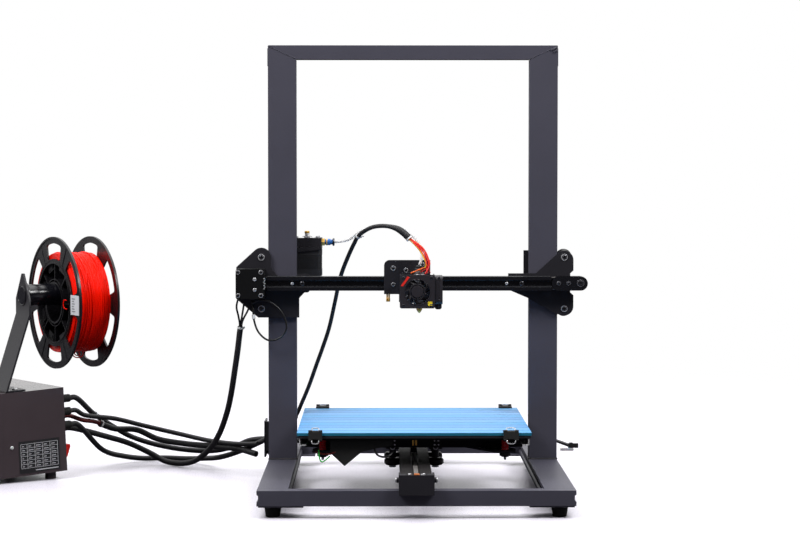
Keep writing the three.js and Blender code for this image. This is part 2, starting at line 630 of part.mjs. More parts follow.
// The spool's holder: a leaning plate that stands on the control box, with a tube across its top.
function addSpoolHolder() {
  const { z, r, x, y, yaw, tab, long, width, lean } = HOLDER;
  const turn = (g) => g.rotateZ(THREE.MathUtils.degToRad(yaw)).translate(x, y, 0);
  const top = BOX.z + BOX.high + GAP;
  const half = width / 2;
  const side = [[-lean, top + 0.5], [-lean + 3, top + 0.5], [3, 224], [3, 285], [0, 285], [0, 224]];
  const strip = plateXZ(polygon(side), -half, half);
  const peak = polygon([[-half - 1, 243], [-half - 1, 300], [half + 1, 300], [half + 1, 243], [0, 284]]);
  const arm = cut(strip, plateYZ(peak, -5, 6));
  const footAt = [-lean, -lean + 30];
  const foot = boxAt(...footAt, -half, half, top + 0.5, top + 3);
  const tube = cut(rodX(r, 2, long, 0, z, 24), rodX(r - 2.5, 6, long + 1, 0, z, 24));
  const collar = rodX(r + 4, 2, tab, 0, z, 24);
  const washer = rodX(15, -1.2, 1, 0, z, 24);
  const holder = fuse(arm, foot, tube, collar, washer);
  const tilted = boxAt(-400, 400, -400, 400, -300, 0).rotateY(THREE.MathUtils.degToRad(-BOX.tilt));
  const lid = tilted.rotateZ(THREE.MathUtils.degToRad(BOX.yaw));
  const lidTop = new THREE.Vector3(0, 0, BOX.high + GAP).applyMatrix4(boxGroup.matrix);
  const footDown = turn(boxAt(...footAt, -half, half, top - 12, top + 1));
  const whole = fuse(turn(holder), footDown);
  add("spool_holder", cut(whole, lid.translate(lidTop.x, lidTop.y, lidTop.z)), BLACK);
}

function addSpool() {
  const { flange, bore, hub, half, wall, sleeve, web, filament } = SPOOL;
  const { x, y, yaw, z, r, spoolAt } = HOLDER;
  const angle = THREE.MathUtils.degToRad(yaw);
  const along = new THREE.Vector3(Math.cos(angle), Math.sin(angle), 0);
  const centre = new THREE.Vector3(x, y, z - (bore - r) + GAP).addScaledVector(along, spoolAt);
  // A sleeve round the bore and the drum that the filament is wound on, joined by a web half way
  const profile = [
    [bore, -half],
    [bore + sleeve, -half],
    [bore + sleeve, -web],
    [hub - wall, -web],
    [hub - wall, -half],
    [flange, -half],
    [flange, -half + wall],
    [hub, -half + wall],
    [hub, half - wall],
    [flange, half - wall],
    [flange, half],
    [hub - wall, half],
    [hub - wall, web],
    [bore + sleeve, web],
    [bore + sleeve, half],
    [bore, half],
    [bore, -half],
  ];
  const turned = (points) => {
    const lathe = new THREE.LatheGeometry(points.map((p) => new THREE.Vector2(...p)), 36);
    return lathe.rotateX(Math.PI / 2);
  };
  const body = turned(profile);
  const windows = [];
  for (let i = 0; i < 6; i += 1) {
    const s = new THREE.Shape();
    s.absarc(0, 0, 0.9 * flange, -0.32, 0.32);
    s.absarc(0, 0, 0.665 * flange, 0.33, -0.33, true);
    windows.push(plateXY(s, -half - 1, half + 1, 3).rotateZ(((i + 0.5) / 6) * TAU));
  }
  const ribs = [];
  for (let i = 0; i < 4; i += 1) {
    const rib = boxAt(bore + 1, hub - 1, -0.8, 0.8, -half + 2, half - 2);
    ribs.push(rib.clone().rotateZ((i / 4) * Math.PI), rib.rotateZ((i / 4) * Math.PI + Math.PI));
  }
  const aim = (g) => {
    const turn = new THREE.Quaternion().setFromUnitVectors(UP, along);
    return g.applyQuaternion(turn).translate(centre.x, centre.y, centre.z);
  };
  add("spool", aim(fuse(cut(body, ...windows), ...ribs)), PLASTIC);
  const inner = hub + GAP;
  const side = half - wall - GAP;
  const rim = filament - 1;
  const coil = [[inner, -side], [rim, -side], [filament, -side + 1], [filament, side - 1], [rim, side]];
  const ring = [...coil, [inner, side], [inner, -side]];
  add("filament_coil", aim(turned(ring)), [0xd8200c, 0.4, 0]);
}

// Cables. Each starts at its socket on the control box and follows the route of its own list.
function fromSocket([y, z]) {
  const at = (x) => new THREE.Vector3(x, y, z).applyMatrix4(boxGroup.matrix).toArray();
  return [at(SOCKET_LONG + GAP), at(SOCKET_LONG + 8)];
}

const Y_MOTOR_ROUTE = [
  [-474, 475, 66], [-446, 505, 42], [-426, 520, 28], [-394, 527, 16], [-349, 514, 9], [-299, 486, 10],
  [-261, 449, 22], [-238, 428, 33], [-215, 420, 36], [-190, 425, 34], [-150, 455, 29], [-110, 488, 29],
  [-76, 520, 29], [-50, 552, 28], [-30, 578, 24], [-12, 598, 20], [6, 598, 18], [22, 597.5, 17],
];
const X_MOTOR_ROUTE = [
  [-453, 475, 32], [-424, 500, 19], [-394, 515, 2], [-373, 513, -9], [-351, 500, -11], [-324, 470, -3],
  [-300, 440, 18], [-283, 410, 44], [-269, 380, 80], [-262, 364, 108], [-256, 352, 142], [-251, 346, 174],
  [-247, 343, 205], [-243, 341, 226], [-239, 338, 240], [-237, 337, 247.5],
];
const HOTEND_ROUTE = [
  [-464, 485, 12], [-440, 535, -4], [-411, 560, -11], [-379, 565, -11], [-345, 548, -10], [-313, 520, -6],
  [-285, 475, 2], [-254, 435, 16], [-228, 408, 30], [-205, 400, 42], [-184, 397, 54], [-170, 392, 72],
  [-160, 387, 94], [-150, 384, 118], [-139, 383, 149], [-131, 383, 171], [-121, 382, 201], [-112, 370, 240],
  [-104, 350, 276], [-93, 322, 306], [-83.4, 304, 327], [-76.5, 292, 339], [-60, 280, 350],
  [-42, 270, 353], [-24, 262, 349.8], [-13, 258.5, 343], [-5, 255.8, 334.5], [7, 250, 322], [15, 245, 311],
  [19, 241, 300], [20, 239, 289],
];
const TUBE_ROUTE = [
  [-111.4, 345, 328.4], [-98, 341, 330], [-88, 326, 334], [-78, 307, 342], [-62, 292, 350], [-43, 281, 353.5],
  [-25, 273, 351.5], [-11, 268, 346], [1, 264, 337.5], [9, 260, 325], [11.5, 257, 313], [10.5, 254.3, 305.5],
  [8.5, 252.3, 299.2],
];

function addCables() {
  add("y_motor_loom", cord([...fromSocket(SOCKETS.motorY), ...Y_MOTOR_ROUTE], 7, 8, 36), SLEEVE);
  add("x_motor_loom", cord([...fromSocket(SOCKETS.motorX), ...X_MOTOR_ROUTE], 8, 8, 36), SLEEVE);
  add("hotend_loom", cord([...fromSocket(SOCKETS.hotend), ...HOTEND_ROUTE], 6, 8, 52), SLEEVE);
  add("filament_tube", cord(TUBE_ROUTE, 4, 8, 20), [0xe8e8e8, 0.4, 0]);
}

addBase();
addPortal();
addRail();
addZDrive();
addBed();
addGantryPlates();
addGantryBackPlate();
addXAxis();
addExtruder();
addHotend();
addControlBox();
addSpoolHolder();
addSpool();
addCables();

// The origin: the centre of the footprint of everything but the cables, on the standing surface.
const CABLES = ["y_motor_loom", "x_motor_loom", "hotend_loom", "filament_tube"];
const bounds = new THREE.Box3();
place.updateMatrixWorld(true);
place.traverse((mesh) => {
  if (mesh.isMesh && !CABLES.includes(mesh.name)) {
    bounds.expandByObject(mesh, true);
  }
});
const middle = bounds.getCenter(new THREE.Vector3());
place.position.set(-middle.x, -middle.y, -bounds.min.z);

export default printer;
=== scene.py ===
"""The looks of a moving-bed FDM printer, its control box and its filament spool.

Pieces are built in the printer's own millimetres: +X right, +Y back, +Z up, from the middle of the
base's front bottom edge. make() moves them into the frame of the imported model, in metres.
"""
import math
import random

import bmesh
import bpy
from mathutils import Matrix, Vector
from mathutils.geometry import tessellate_polygon


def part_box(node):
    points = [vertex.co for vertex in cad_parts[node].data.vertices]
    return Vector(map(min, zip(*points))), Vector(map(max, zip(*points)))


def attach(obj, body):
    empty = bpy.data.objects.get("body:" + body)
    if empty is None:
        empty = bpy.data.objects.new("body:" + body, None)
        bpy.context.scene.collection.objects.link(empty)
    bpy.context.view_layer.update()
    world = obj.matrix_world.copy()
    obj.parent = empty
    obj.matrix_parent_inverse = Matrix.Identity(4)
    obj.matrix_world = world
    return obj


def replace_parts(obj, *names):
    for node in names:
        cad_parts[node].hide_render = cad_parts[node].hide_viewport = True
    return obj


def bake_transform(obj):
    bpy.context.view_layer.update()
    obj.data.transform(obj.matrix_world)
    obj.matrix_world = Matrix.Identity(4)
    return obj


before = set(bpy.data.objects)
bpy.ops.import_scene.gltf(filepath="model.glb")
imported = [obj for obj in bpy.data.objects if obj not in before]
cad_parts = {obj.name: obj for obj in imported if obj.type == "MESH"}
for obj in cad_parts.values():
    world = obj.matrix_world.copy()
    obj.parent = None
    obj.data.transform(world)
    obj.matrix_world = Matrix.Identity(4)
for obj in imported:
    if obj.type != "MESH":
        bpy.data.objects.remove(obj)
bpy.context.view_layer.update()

MM = 0.001
TAU = math.tau
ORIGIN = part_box("upright_left")[0] - Vector((-205, 309, 20.3)) * MM
random.seed(7)

# ---------------------------------------------------------------- places


def to_row(point):
    """A point in the printer's millimetres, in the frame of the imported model."""
    return ORIGIN + Vector(point) * MM


def span(node):
    """The lowest and highest corner of a CAD node, in the printer's millimetres."""
    low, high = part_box(node)
    return (low - ORIGIN) / MM, (high - ORIGIN) / MM


def aim(x, y, z, direction=(0, -1, 0)):
    """A place whose own +Z points along direction."""
    return Matrix.Translation((x, y, z)) @ Vector(direction).to_track_quat("Z", "Y").to_matrix().to_4x4()


FRONT, BACK, UP, DOWN = (0, -1, 0), (0, 1, 0), (0, 0, 1), (0, 0, -1)
LEFT, RIGHT = (-1, 0, 0), (1, 0, 0)

BOX = {"long": 215, "wide": 170, "high": 121.5}
BOX_TURN = (
    Matrix.Translation((-500.5, 372.8, -4))
    @ Matrix.Rotation(math.radians(35), 4, "Z")
    @ Matrix.Rotation(math.radians(-2.6), 4, "Y")
)
HOLDER_TURN = Matrix.Translation((-562.1, 361.3, 0)) @ Matrix.Rotation(math.radians(31.5), 4, "Z")
SOCKETS = {"motorY": (30, 101), "motorZ": (30, 82), "bed": (52, 72), "motorX": (52, 54), "hotend": (30, 62)}
SOCKET_LONG = 24
DEPTH = span("y_rail")[1].y
BED_MOTOR_Y = DEPTH + 24
WHEEL_Y = (212, 272)
PULLEY_TEETH = 20
MOTOR_LONG = 38
SCREW_AXIS = (-189, 354)
EXTRUDER = (-151, 356)
HOTEND = (8, 252)
FAN = (5, 263)

# ---------------------------------------------------------------- materials


def map_range(nodes, low, high, to_low=0.0, to_high=1.0):
    """A node that carries low..high over to to_low..to_high."""
    node = nodes.new("ShaderNodeMapRange")
    node.inputs["From Min"].default_value, node.inputs["From Max"].default_value = low, high
    node.inputs["To Min"].default_value, node.inputs["To Max"].default_value = to_low, to_high
    return node


def material(name, colour, rough, metal=0.0, mottle=0.12, patch=0.03, grain=0.0008, bump=0.15,
             spread=0.08, stretch=(1, 1, 1), **sockets):
    """A finish with patches of slightly other colour, fine grain in its gloss, and a fine relief."""
    mat = bpy.data.materials.new(name)
    mat.use_nodes = True
    nodes, links = mat.node_tree.nodes, mat.node_tree.links
    shader = nodes["Principled BSDF"]
    coords = nodes.new("ShaderNodeTexCoord")
    mapping = nodes.new("ShaderNodeMapping")
    mapping.inputs["Scale"].default_value = stretch
    links.new(coords.outputs["Object"], mapping.inputs["Vector"])

    def noise(size, detail):
        node = nodes.new("ShaderNodeTexNoise")
        node.inputs["Scale"].default_value = 1 / size
        node.inputs["Detail"].default_value = detail
        links.new(mapping.outputs["Vector"], node.inputs["Vector"])
        return node

    patches, fine = noise(patch, 4), noise(grain, 3)
    mix = nodes.new("ShaderNodeMix")
    mix.data_type = "RGBA"
    mix.inputs["A"].default_value = (*[c * (1 - mottle) for c in colour], 1)
    mix.inputs["B"].default_value = (*[min(1, c * (1 + mottle)) for c in colour], 1)
    links.new(patches.outputs["Fac"], mix.inputs["Factor"])
    links.new(mix.outputs["Result"], shader.inputs["Base Color"])
    gloss = map_range(nodes, 0.3, 0.7, rough - spread, rough + spread)
    links.new(fine.outputs["Fac"], gloss.inputs["Value"])
    links.new(gloss.outputs["Result"], shader.inputs["Roughness"])
    relief = nodes.new("ShaderNodeBump")
    relief.inputs["Strength"].default_value = bump
    relief.inputs["Distance"].default_value = grain * 0.4
    links.new(fine.outputs["Fac"], relief.inputs["Height"])
    links.new(relief.outputs["Normal"], shader.inputs["Normal"])
    shader.inputs["Metallic"].default_value = metal
    for socket, value in sockets.items():
        shader.inputs[socket.replace("_", " ")].default_value = value
    return mat


def woven(name, colour, rough, pitch):
    """A braided sleeve: two sets of crossing strands, laid along and around the cord."""
    mat = material(name, colour, rough, bump=0.1, grain=0.0006)
    nodes, links = mat.node_tree.nodes, mat.node_tree.links
    coords = nodes.new("ShaderNodeUVMap")
    height = None
    for turn in (1, -1):
        mapping = nodes.new("ShaderNodeMapping")
        mapping.inputs["Rotation"].default_value = (0, 0, turn * math.radians(45))
        wave = nodes.new("ShaderNodeTexWave")
        wave.inputs["Scale"].default_value = 1 / pitch
        wave.inputs["Distortion"].default_value = 0.4
        links.new(coords.outputs["UV"], mapping.inputs["Vector"])
        links.new(mapping.outputs["Vector"], wave.inputs["Vector"])
        if height is None:
            height = wave.outputs["Fac"]
            continue
        both = nodes.new("ShaderNodeMath")
        both.operation = "MAXIMUM"
        links.new(height, both.inputs[0])
        links.new(wave.outputs["Fac"], both.inputs[1])
        height = both.outputs[0]
    relief = nodes.new("ShaderNodeBump")
    relief.inputs["Strength"].default_value = 0.5
    relief.inputs["Distance"].default_value = 0.0003
    links.new(height, relief.inputs["Height"])
    links.new(relief.outputs["Normal"], nodes["Principled BSDF"].inputs["Normal"])
    return mat


def crepe(name, colour):
    """Painter's tape: fine wrinkles across the strip."""
    return material(name, colour, 0.5, mottle=0.08, patch=0.02, grain=0.0016, bump=0.35,
                    stretch=(1, 3.5, 1), Specular_IOR_Level=0.35)


PAINT = material("paint", (0.062, 0.060, 0.082), 0.46, mottle=0.10, patch=0.05, grain=0.0007, bump=0.25,
                 Specular_IOR_Level=0.4)
COVER_BLACK = material("cover_black", (0.003, 0.003, 0.0035), 0.5, mottle=0.2, grain=0.0005, bump=0.1,
                       Specular_IOR_Level=0.2)
PLATE_BLACK = material("plate_black", (0.0185, 0.0175, 0.022), 0.4, mottle=0.2, grain=0.0006, bump=0.2,
                       Specular_IOR_Level=0.3)
CAST_DARK = material("cast_dark", (0.045, 0.045, 0.05), 0.38, 0.5, mottle=0.2, grain=0.0006, bump=0.2)
BLACK_OXIDE = material("black_oxide", (0.09, 0.09, 0.10), 0.22, 0.9, mottle=0.2, grain=0.0004, bump=0.05)
RAIL_BLACK = material("rail_black", (0.011, 0.0095, 0.010), 0.5, mottle=0.2, grain=0.0006, bump=0.2,
                      stretch=(1, 0.05, 1), Specular_IOR_Level=0.3)
GLOSS_BLACK = material("anodised_black", (0.006, 0.006, 0.008), 0.24, mottle=0.2, grain=0.0004, bump=0.05,
                       stretch=(0.05, 1, 1))
PLASTIC = material("black_plastic", (0.011, 0.011, 0.013), 0.42, mottle=0.15, grain=0.0005, bump=0.2)
FAN_GREY = material("fan_plastic", (0.021, 0.018, 0.022), 0.4, mottle=0.12, grain=0.0005, bump=0.15)
GLOSS_PLASTIC = material("gloss_plastic", (0.006, 0.006, 0.009), 0.16, mottle=0.2, patch=0.02, grain=0.002,
                         bump=0.08, spread=0.05)
REEL_PLASTIC = material("reel_plastic", (0.0065, 0.006, 0.0075), 0.3, mottle=0.2, patch=0.02, grain=0.001,
                        bump=0.1, Specular_IOR_Level=0.4)
RUBBER = material("rubber", (0.009, 0.009, 0.009), 0.75, mottle=0.2, grain=0.0005, bump=0.3)
NYLON = material("wheel_nylon", (0.012, 0.012, 0.013), 0.34, mottle=0.15, bump=0.1)
STEEL = material("steel", (0.66, 0.66, 0.68), 0.28, 0.65, mottle=0.08, grain=0.0004, bump=0.1)
DARK_STEEL = material("dark_steel", (0.24, 0.24, 0.26), 0.3, 0.7, mottle=0.12, grain=0.0004, bump=0.1)
ALUMINIUM = material("aluminium", (0.72, 0.72, 0.74), 0.36, 1.0, mottle=0.06, grain=0.0005, bump=0.15,
                     stretch=(1, 1, 0.1))
BRASS = material("brass", (0.86, 0.52, 0.12), 0.3, 0.6, mottle=0.12, grain=0.0005, bump=0.1)
COPPER = material("orange_copper", (0.75, 0.22, 0.05), 0.35, 0.6, mottle=0.12, bump=0.1)
# the fourth, darker tape is painted shade at each overlap of the strips
TAPE = [crepe("tape_a", (0.10, 0.34, 0.64)), crepe("tape_b", (0.14, 0.36, 0.68)),
        crepe("tape_c", (0.115, 0.31, 0.61)), crepe("tape_seam_shade", (0.045, 0.17, 0.40))]
# a darker teal copy of the tape for its folded edges: painted shade on the lips
SHADED_TAPE_EDGE = material("shaded_tape_edge", (0.008, 0.15, 0.25), 0.4, mottle=0.15, patch=0.02, grain=0.0012, bump=0.3)
GLASS_EDGE = material("bed_glass", (0.02, 0.14, 0.17), 0.12, mottle=0.1, patch=0.04, grain=0.004, bump=0.02)
RED_FILAMENT = material("red_filament", (1.0, 0.008, 0.0), 0.3, mottle=0.08, patch=0.015, grain=0.0009,
                        bump=0.1, Specular_IOR_Level=0.12)
RED_SPRING = material("red_spring", (0.80, 0.015, 0.025), 0.3, mottle=0.15, grain=0.0006, bump=0.1)
RED_PLASTIC = material("red_plastic", (0.72, 0.012, 0.008), 0.3, mottle=0.1, bump=0.1)
YELLOW_DOT = material("yellow_dot", (0.80, 0.60, 0.02), 0.45, mottle=0.1, bump=0.1)
RED_STRIPE = material("red_stripe", (0.75, 0.02, 0.01), 0.45, mottle=0.1, bump=0.1)
SLEEVE = woven("cable_sleeve", (0.0085, 0.008, 0.010), 0.52, 0.004)
RED_SLEEVE = woven("red_leads", (0.12, 0.006, 0.006), 0.4, 0.005)
WIRE = {
    "red": material("wire_red", (0.72, 0.012, 0.008), 0.32, mottle=0.15, bump=0.08),
    "orange": material("wire_orange", (0.85, 0.13, 0.01), 0.32, mottle=0.15, bump=0.08),
    "yellow": material("wire_yellow", (0.85, 0.52, 0.02), 0.32, mottle=0.15, bump=0.08),
    "black": material("wire_black", (0.008, 0.008, 0.009), 0.32, mottle=0.15, bump=0.08),
    "green": material("wire_green", (0.02, 0.62, 0.06), 0.35, mottle=0.15, bump=0.08),
}
WHITE_NYLON = material("white_nylon", (0.78, 0.78, 0.78), 0.38, mottle=0.05, bump=0.1, Subsurface_Weight=0.05)
WHITE_PTFE = material("white_tube", (0.97, 0.97, 0.97), 0.7, mottle=0.02, patch=0.01, bump=0.05,
                      Transmission_Weight=0.4, IOR=1.05)
CLEAR_TIE = material("clear_tie", (0.62, 0.66, 0.70), 0.25, mottle=0.06, bump=0.1, Subsurface_Weight=0.1)
LABEL = material("paper_label", (0.75, 0.76, 0.80), 0.5, mottle=0.05, patch=0.004, bump=0.05)
BELT = material("belt_rubber", (0.17, 0.16, 0.155), 0.5, mottle=0.25, patch=0.006, grain=0.0008, bump=0.3)
BLUE_RING = material("blue_ring", (0.02, 0.13, 0.42), 0.35, mottle=0.1, bump=0.1)
FIBRE = material("insulation", (0.55, 0.55, 0.56), 0.8, mottle=0.2, patch=0.004, grain=0.0007, bump=0.8)
BOARD = material("circuit_board", (0.01, 0.10, 0.04), 0.4, mottle=0.25, patch=0.004, bump=0.2)
BOX_PAINT = material("box_paint", (0.066, 0.050, 0.056), 0.15, mottle=0.12, patch=0.05, grain=0.0009,
                     bump=0.3)
INK = material("label_ink", (0.012, 0.012, 0.014), 0.45, mottle=0.1, bump=0.05)
DISPLAY = material("display_glass", (0.012, 0.03, 0.045), 0.08, mottle=0.1, patch=0.02, bump=0.0)

# ---------------------------------------------------------------- shapes


class Piece:
    """A piece in the making, in the printer's millimetres. Each face has the number of its material."""

    def __init__(self):
        self.points, self.faces, self.kinds, self.uvs = [], [], [], {}

    def add(self, shape, kind=0, place=None):
        points, faces = shape[:2]
        start = len(self.points)
        self.points += [place @ Vector(p) if place else Vector(p) for p in points]
        if len(shape) > 2:
            self.uvs.update({len(self.faces) + i: uv for i, uv in enumerate(shape[2])})
        self.faces += [[start + i for i in f] for f in faces]
        self.kinds += [kind] * len(faces)
        return self


def slab(x0, x1, y0, y1, z0, z1):
    points = [(x, y, z) for x in (x0, x1) for y in (y0, y1) for z in (z0, z1)]
    return points, [(0, 1, 3, 2), (4, 6, 7, 5), (0, 4, 5, 1), (2, 3, 7, 6), (0, 2, 6, 4), (1, 5, 7, 3)]


def rings(loops, joined=False):
    """Faces between loops of equal length; a loop of one point is a tip."""
    points = [p for loop in loops for p in loop]
    starts = [sum(len(loop) for loop in loops[:i]) for i in range(len(loops))]
    faces = []
    pairs = list(zip(range(len(loops) - 1), range(1, len(loops))))
    if joined:
        pairs.append((len(loops) - 1, 0))
    for a, b in pairs:
        na, nb, n = len(loops[a]), len(loops[b]), max(len(loops[a]), len(loops[b]))
        for i in range(n):
            j = (i + 1) % n
            corners = [starts[a] + i % na, starts[a] + j % na, starts[b] + j % nb, starts[b] + i % nb]
            faces.append(list(dict.fromkeys(corners)))
    if not joined:
        for loop, start in ((loops[0], starts[0]), (loops[-1], starts[-1])):
            if len(loop) > 1:
                faces.append([start + i for i in range(len(loop))])
    return points, faces


def turned(profile, sides=40):
    """(radius, height) pairs turned about Z. A third value makes that ring a polygon of so many sides."""
    joined = profile[0] == profile[-1]
    loops = []
    for entry in profile[:-1] if joined else profile:
        r, h, corners = (*entry, 0)[:3]
        loop = []
        for i in range(sides if r else 1):
            a = TAU * i / sides
            reach = r
            if corners:
                reach = r / math.cos((a % (TAU / corners)) - TAU / corners / 2)
            loop.append((reach * math.cos(a), reach * math.sin(a), h))
        loops.append(loop)
    return rings(loops, joined=joined)


def ring(inner, outer, low, high, sides):
    """A tube about Z."""
    return turned([(inner, low), (outer, low), (outer, high), (inner, high), (inner, low)], sides)


def disc(r, low, high, sides):
    """A cylinder about Z."""
    return turned([(0, low), (r, low), (r, high), (0, high)], sides)


def plate(outline, low, high, holes=()):
    """An outline in X and Y with holes in it, from low to high."""
    loops = [list(outline), *[list(h) for h in holes]]
    flat = [p for loop in loops for p in loop]
    triangles = tessellate_polygon([[Vector((x, y, 0)) for x, y in loop] for loop in loops])
    n = len(flat)
    points = [(x, y, low) for x, y in flat] + [(x, y, high) for x, y in flat]
    faces = [list(t) for t in triangles] + [[i + n for i in t] for t in triangles]
    start = 0
    for loop in loops:
        m = len(loop)
        for i in range(m):
            a, b = start + i, start + (i + 1) % m
            faces.append([a, b, b + n, a + n])
        start += m
    return points, faces


def arc(x, y, r, start, stop, steps=12):
    """Points of an arc, its angles in degrees."""
    angles = [math.radians(start + (stop - start) * i / steps) for i in range(steps + 1)]
    return [(x + r * math.cos(a), y + r * math.sin(a)) for a in angles]


def circle(x, y, r, steps=32):
    return arc(x, y, r, 0, 360, steps)[:-1]


def knurled(outer, inner, steps):
    """A circle whose rim steps in and out."""
    reach = [outer if i % 4 < 2 else inner for i in range(steps)]
    return [(r * math.cos(TAU * i / steps), r * math.sin(TAU * i / steps)) for i, r in enumerate(reach)]


def rounded(x0, x1, y0, y1, r):
    """A rectangle with round corners."""
    corners = [(x1 - r, y0 + r, -90), (x1 - r, y1 - r, 0), (x0 + r, y1 - r, 90), (x0 + r, y0 + r, 180)]
    return [p for x, y, a in corners for p in arc(x, y, r, a, a + 90, 6)]


def smooth_path(points, step=2.0):
    """A centripetal Catmull-Rom curve through the points, cut into even steps."""
    points = [Vector(p) for p in points]
    ends = [2 * points[0] - points[1], *points, 2 * points[-1] - points[-2]]
    dense = []
    for p0, p1, p2, p3 in zip(ends, ends[1:], ends[2:], ends[3:]):
        t0 = 0.0
        t1 = t0 + max((p1 - p0).length, 1e-4) ** 0.5
        t2 = t1 + max((p2 - p1).length, 1e-4) ** 0.5
        t3 = t2 + max((p3 - p2).length, 1e-4) ** 0.5
        count = max(4, int((p2 - p1).length))
        for i in range(count):
            t = t1 + (t2 - t1) * i / count
            a1 = (t1 - t) / (t1 - t0) * p0 + (t - t0) / (t1 - t0) * p1
            a2 = (t2 - t) / (t2 - t1) * p1 + (t - t1) / (t2 - t1) * p2
            a3 = (t3 - t) / (t3 - t2) * p2 + (t - t2) / (t3 - t2) * p3
            b1 = (t2 - t) / (t2 - t0) * a1 + (t - t0) / (t2 - t0) * a2
            b2 = (t3 - t) / (t3 - t1) * a2 + (t - t1) / (t3 - t1) * a3
            dense.append((t2 - t) / (t2 - t1) * b1 + (t - t1) / (t2 - t1) * b2)
    dense.append(points[-1])
    return resample(dense, step)


def length_of(path):
    return sum((b - a).length for a, b in zip(path, path[1:]))


def resample(path, step):
    count = max(2, round(length_of(path) / step))
    gap = length_of(path) / count
    out, travelled, target = [path[0]], 0.0, gap
    for a, b in zip(path, path[1:]):
        stretch = (b - a).length
        while stretch > 1e-9 and travelled + stretch >= target - 1e-9 and len(out) < count:
            out.append(a.lerp(b, (target - travelled) / stretch))
            target += gap
        travelled += stretch
    out.append(path[-1])
    return out


def directions(path):
    """A pair of axes across the path at each of its points, carried along it without twist."""
    last = len(path) - 1
    tangents = [(path[min(i + 1, last)] - path[max(i - 1, 0)]).normalized() for i in range(last + 1)]
    side = tangents[0].orthogonal().normalized()
    pairs = []
    for t in tangents:
        side = (side - t * side.dot(t)).normalized()
        pairs.append((side, t.cross(side)))
    return pairs


def ring_around(p, across, r, sides):
    """A circle of points round p, in the plane of two axes across the path."""
    u, v = across
    return [p + r * (math.cos(TAU * k / sides) * u + math.sin(TAU * k / sides) * v) for k in range(sides)]


def woven_tube(loops, around, step):
    """A tube through rings of points. around and step are a face's size, for the weave of a sleeve."""
    points, faces = rings(loops)
    uvs = []
    for row in range(len(loops) - 1):
        for k in range(len(loops[0])):
            corners = [(k, row), (k + 1, row), (k + 1, row + 1), (k, row + 1)]
            uvs.append([(a * around * MM, b * step * MM) for a, b in corners])
    return points, faces, uvs


def swept(path, radius, sides=12):
    """A round tube along a path."""
    loops = [ring_around(p, across, radius, sides) for p, across in zip(path, directions(path))]
    return woven_tube(loops, TAU * radius / sides, length_of(path) / (len(path) - 1))


def band(path, across, half_width, half_thick):
    """A closed flat strip along a path, with its width along a fixed direction."""
    across = Vector(across)
    loops = []
    for i, p in enumerate(path):
        nearby = path[(i + 1) % len(path)] - path[i - 1]
        out = nearby.normalized().cross(across).normalized()
        corners = ((-1, -1), (1, -1), (1, 1), (-1, 1))
        loops.append([p + across * half_width * a + out * half_thick * b for a, b in corners])
    return rings(loops, joined=True)


def round_edges(obj, width, angle):
    """Rounds the edges that are sharper than an angle in degrees."""
    edges = obj.modifiers.new("edges", "BEVEL")
    edges.width = width * MM
    edges.segments = 2
    edges.limit_method = "ANGLE"
    edges.angle_limit = math.radians(angle)
    edges.harden_normals = True


def make(name, piece, materials, body, bevel=0.25, angle=35):
    """Turns a piece into an object that rides on a body. Bevel is the width of its rounded edges."""
    mesh = bpy.data.meshes.new(name)
    mesh.from_pydata([tuple(to_row(p)) for p in piece.points], [], piece.faces)
    mesh.polygons.foreach_set("material_index", piece.kinds)
    if piece.uvs:
        layer = mesh.uv_layers.new(name="UVMap")
        for face, corners in piece.uvs.items():
            for loop, uv in zip(mesh.polygons[face].loop_indices, corners):
                layer.data[loop].uv = uv
    work = bmesh.new()
    work.from_mesh(mesh)
    bmesh.ops.recalc_face_normals(work, faces=work.faces)
    work.to_mesh(mesh)
    work.free()
    mesh.shade_smooth()
    mesh.set_sharp_from_angle(angle=math.radians(angle))
    obj = bpy.data.objects.new(name, mesh)
    bpy.context.scene.collection.objects.link(obj)
    for mat in materials:
        mesh.materials.append(mat)
    if bevel:
        round_edges(obj, bevel, angle)
    if body:
        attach(obj, body)
    return obj


def dress(node, mat):
    """A CAD node keeps its shape and gets its material, and rounded edges."""
    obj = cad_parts[node]
    for name in ("custom_normal", "sharp_face", "sharp_edge"):
        found = obj.data.attributes.get(name)
        if found:
            obj.data.attributes.remove(found)
    obj.data.materials.clear()
    obj.data.materials.append(mat)
    weld = obj.modifiers.new("weld", "WELD")
    weld.merge_threshold = 0.00001
    round_edges(obj, 0.5, 32)


# ---------------------------------------------------------------- camera, light and floor


def add_camera():
    data = bpy.data.cameras.new("camera")
    data.lens, data.sensor_width = 96.74, 36
    data.clip_start, data.clip_end = 0.1, 60
    camera = bpy.data.objects.new("camera", data)
    camera.location = to_row((-47.4, -2737.3, 420.7))
    camera.rotation_euler = (math.radians(90 - 2.371), 0, math.radians(-0.548))
    bpy.context.scene.collection.objects.link(camera)
    bpy.context.scene.camera = camera


def add_lamp(name, place, target, size, power):
    data = bpy.data.lights.new(name, "AREA")
    data.shape, data.size, data.size_y, data.energy = "RECTANGLE", size[0], size[1], power
    lamp = bpy.data.objects.new(name, data)
    lamp.location = place
    lamp.rotation_euler = (Vector(target) - Vector(place)).to_track_quat("-Z", "Y").to_euler()
    bpy.context.scene.collection.objects.link(lamp)


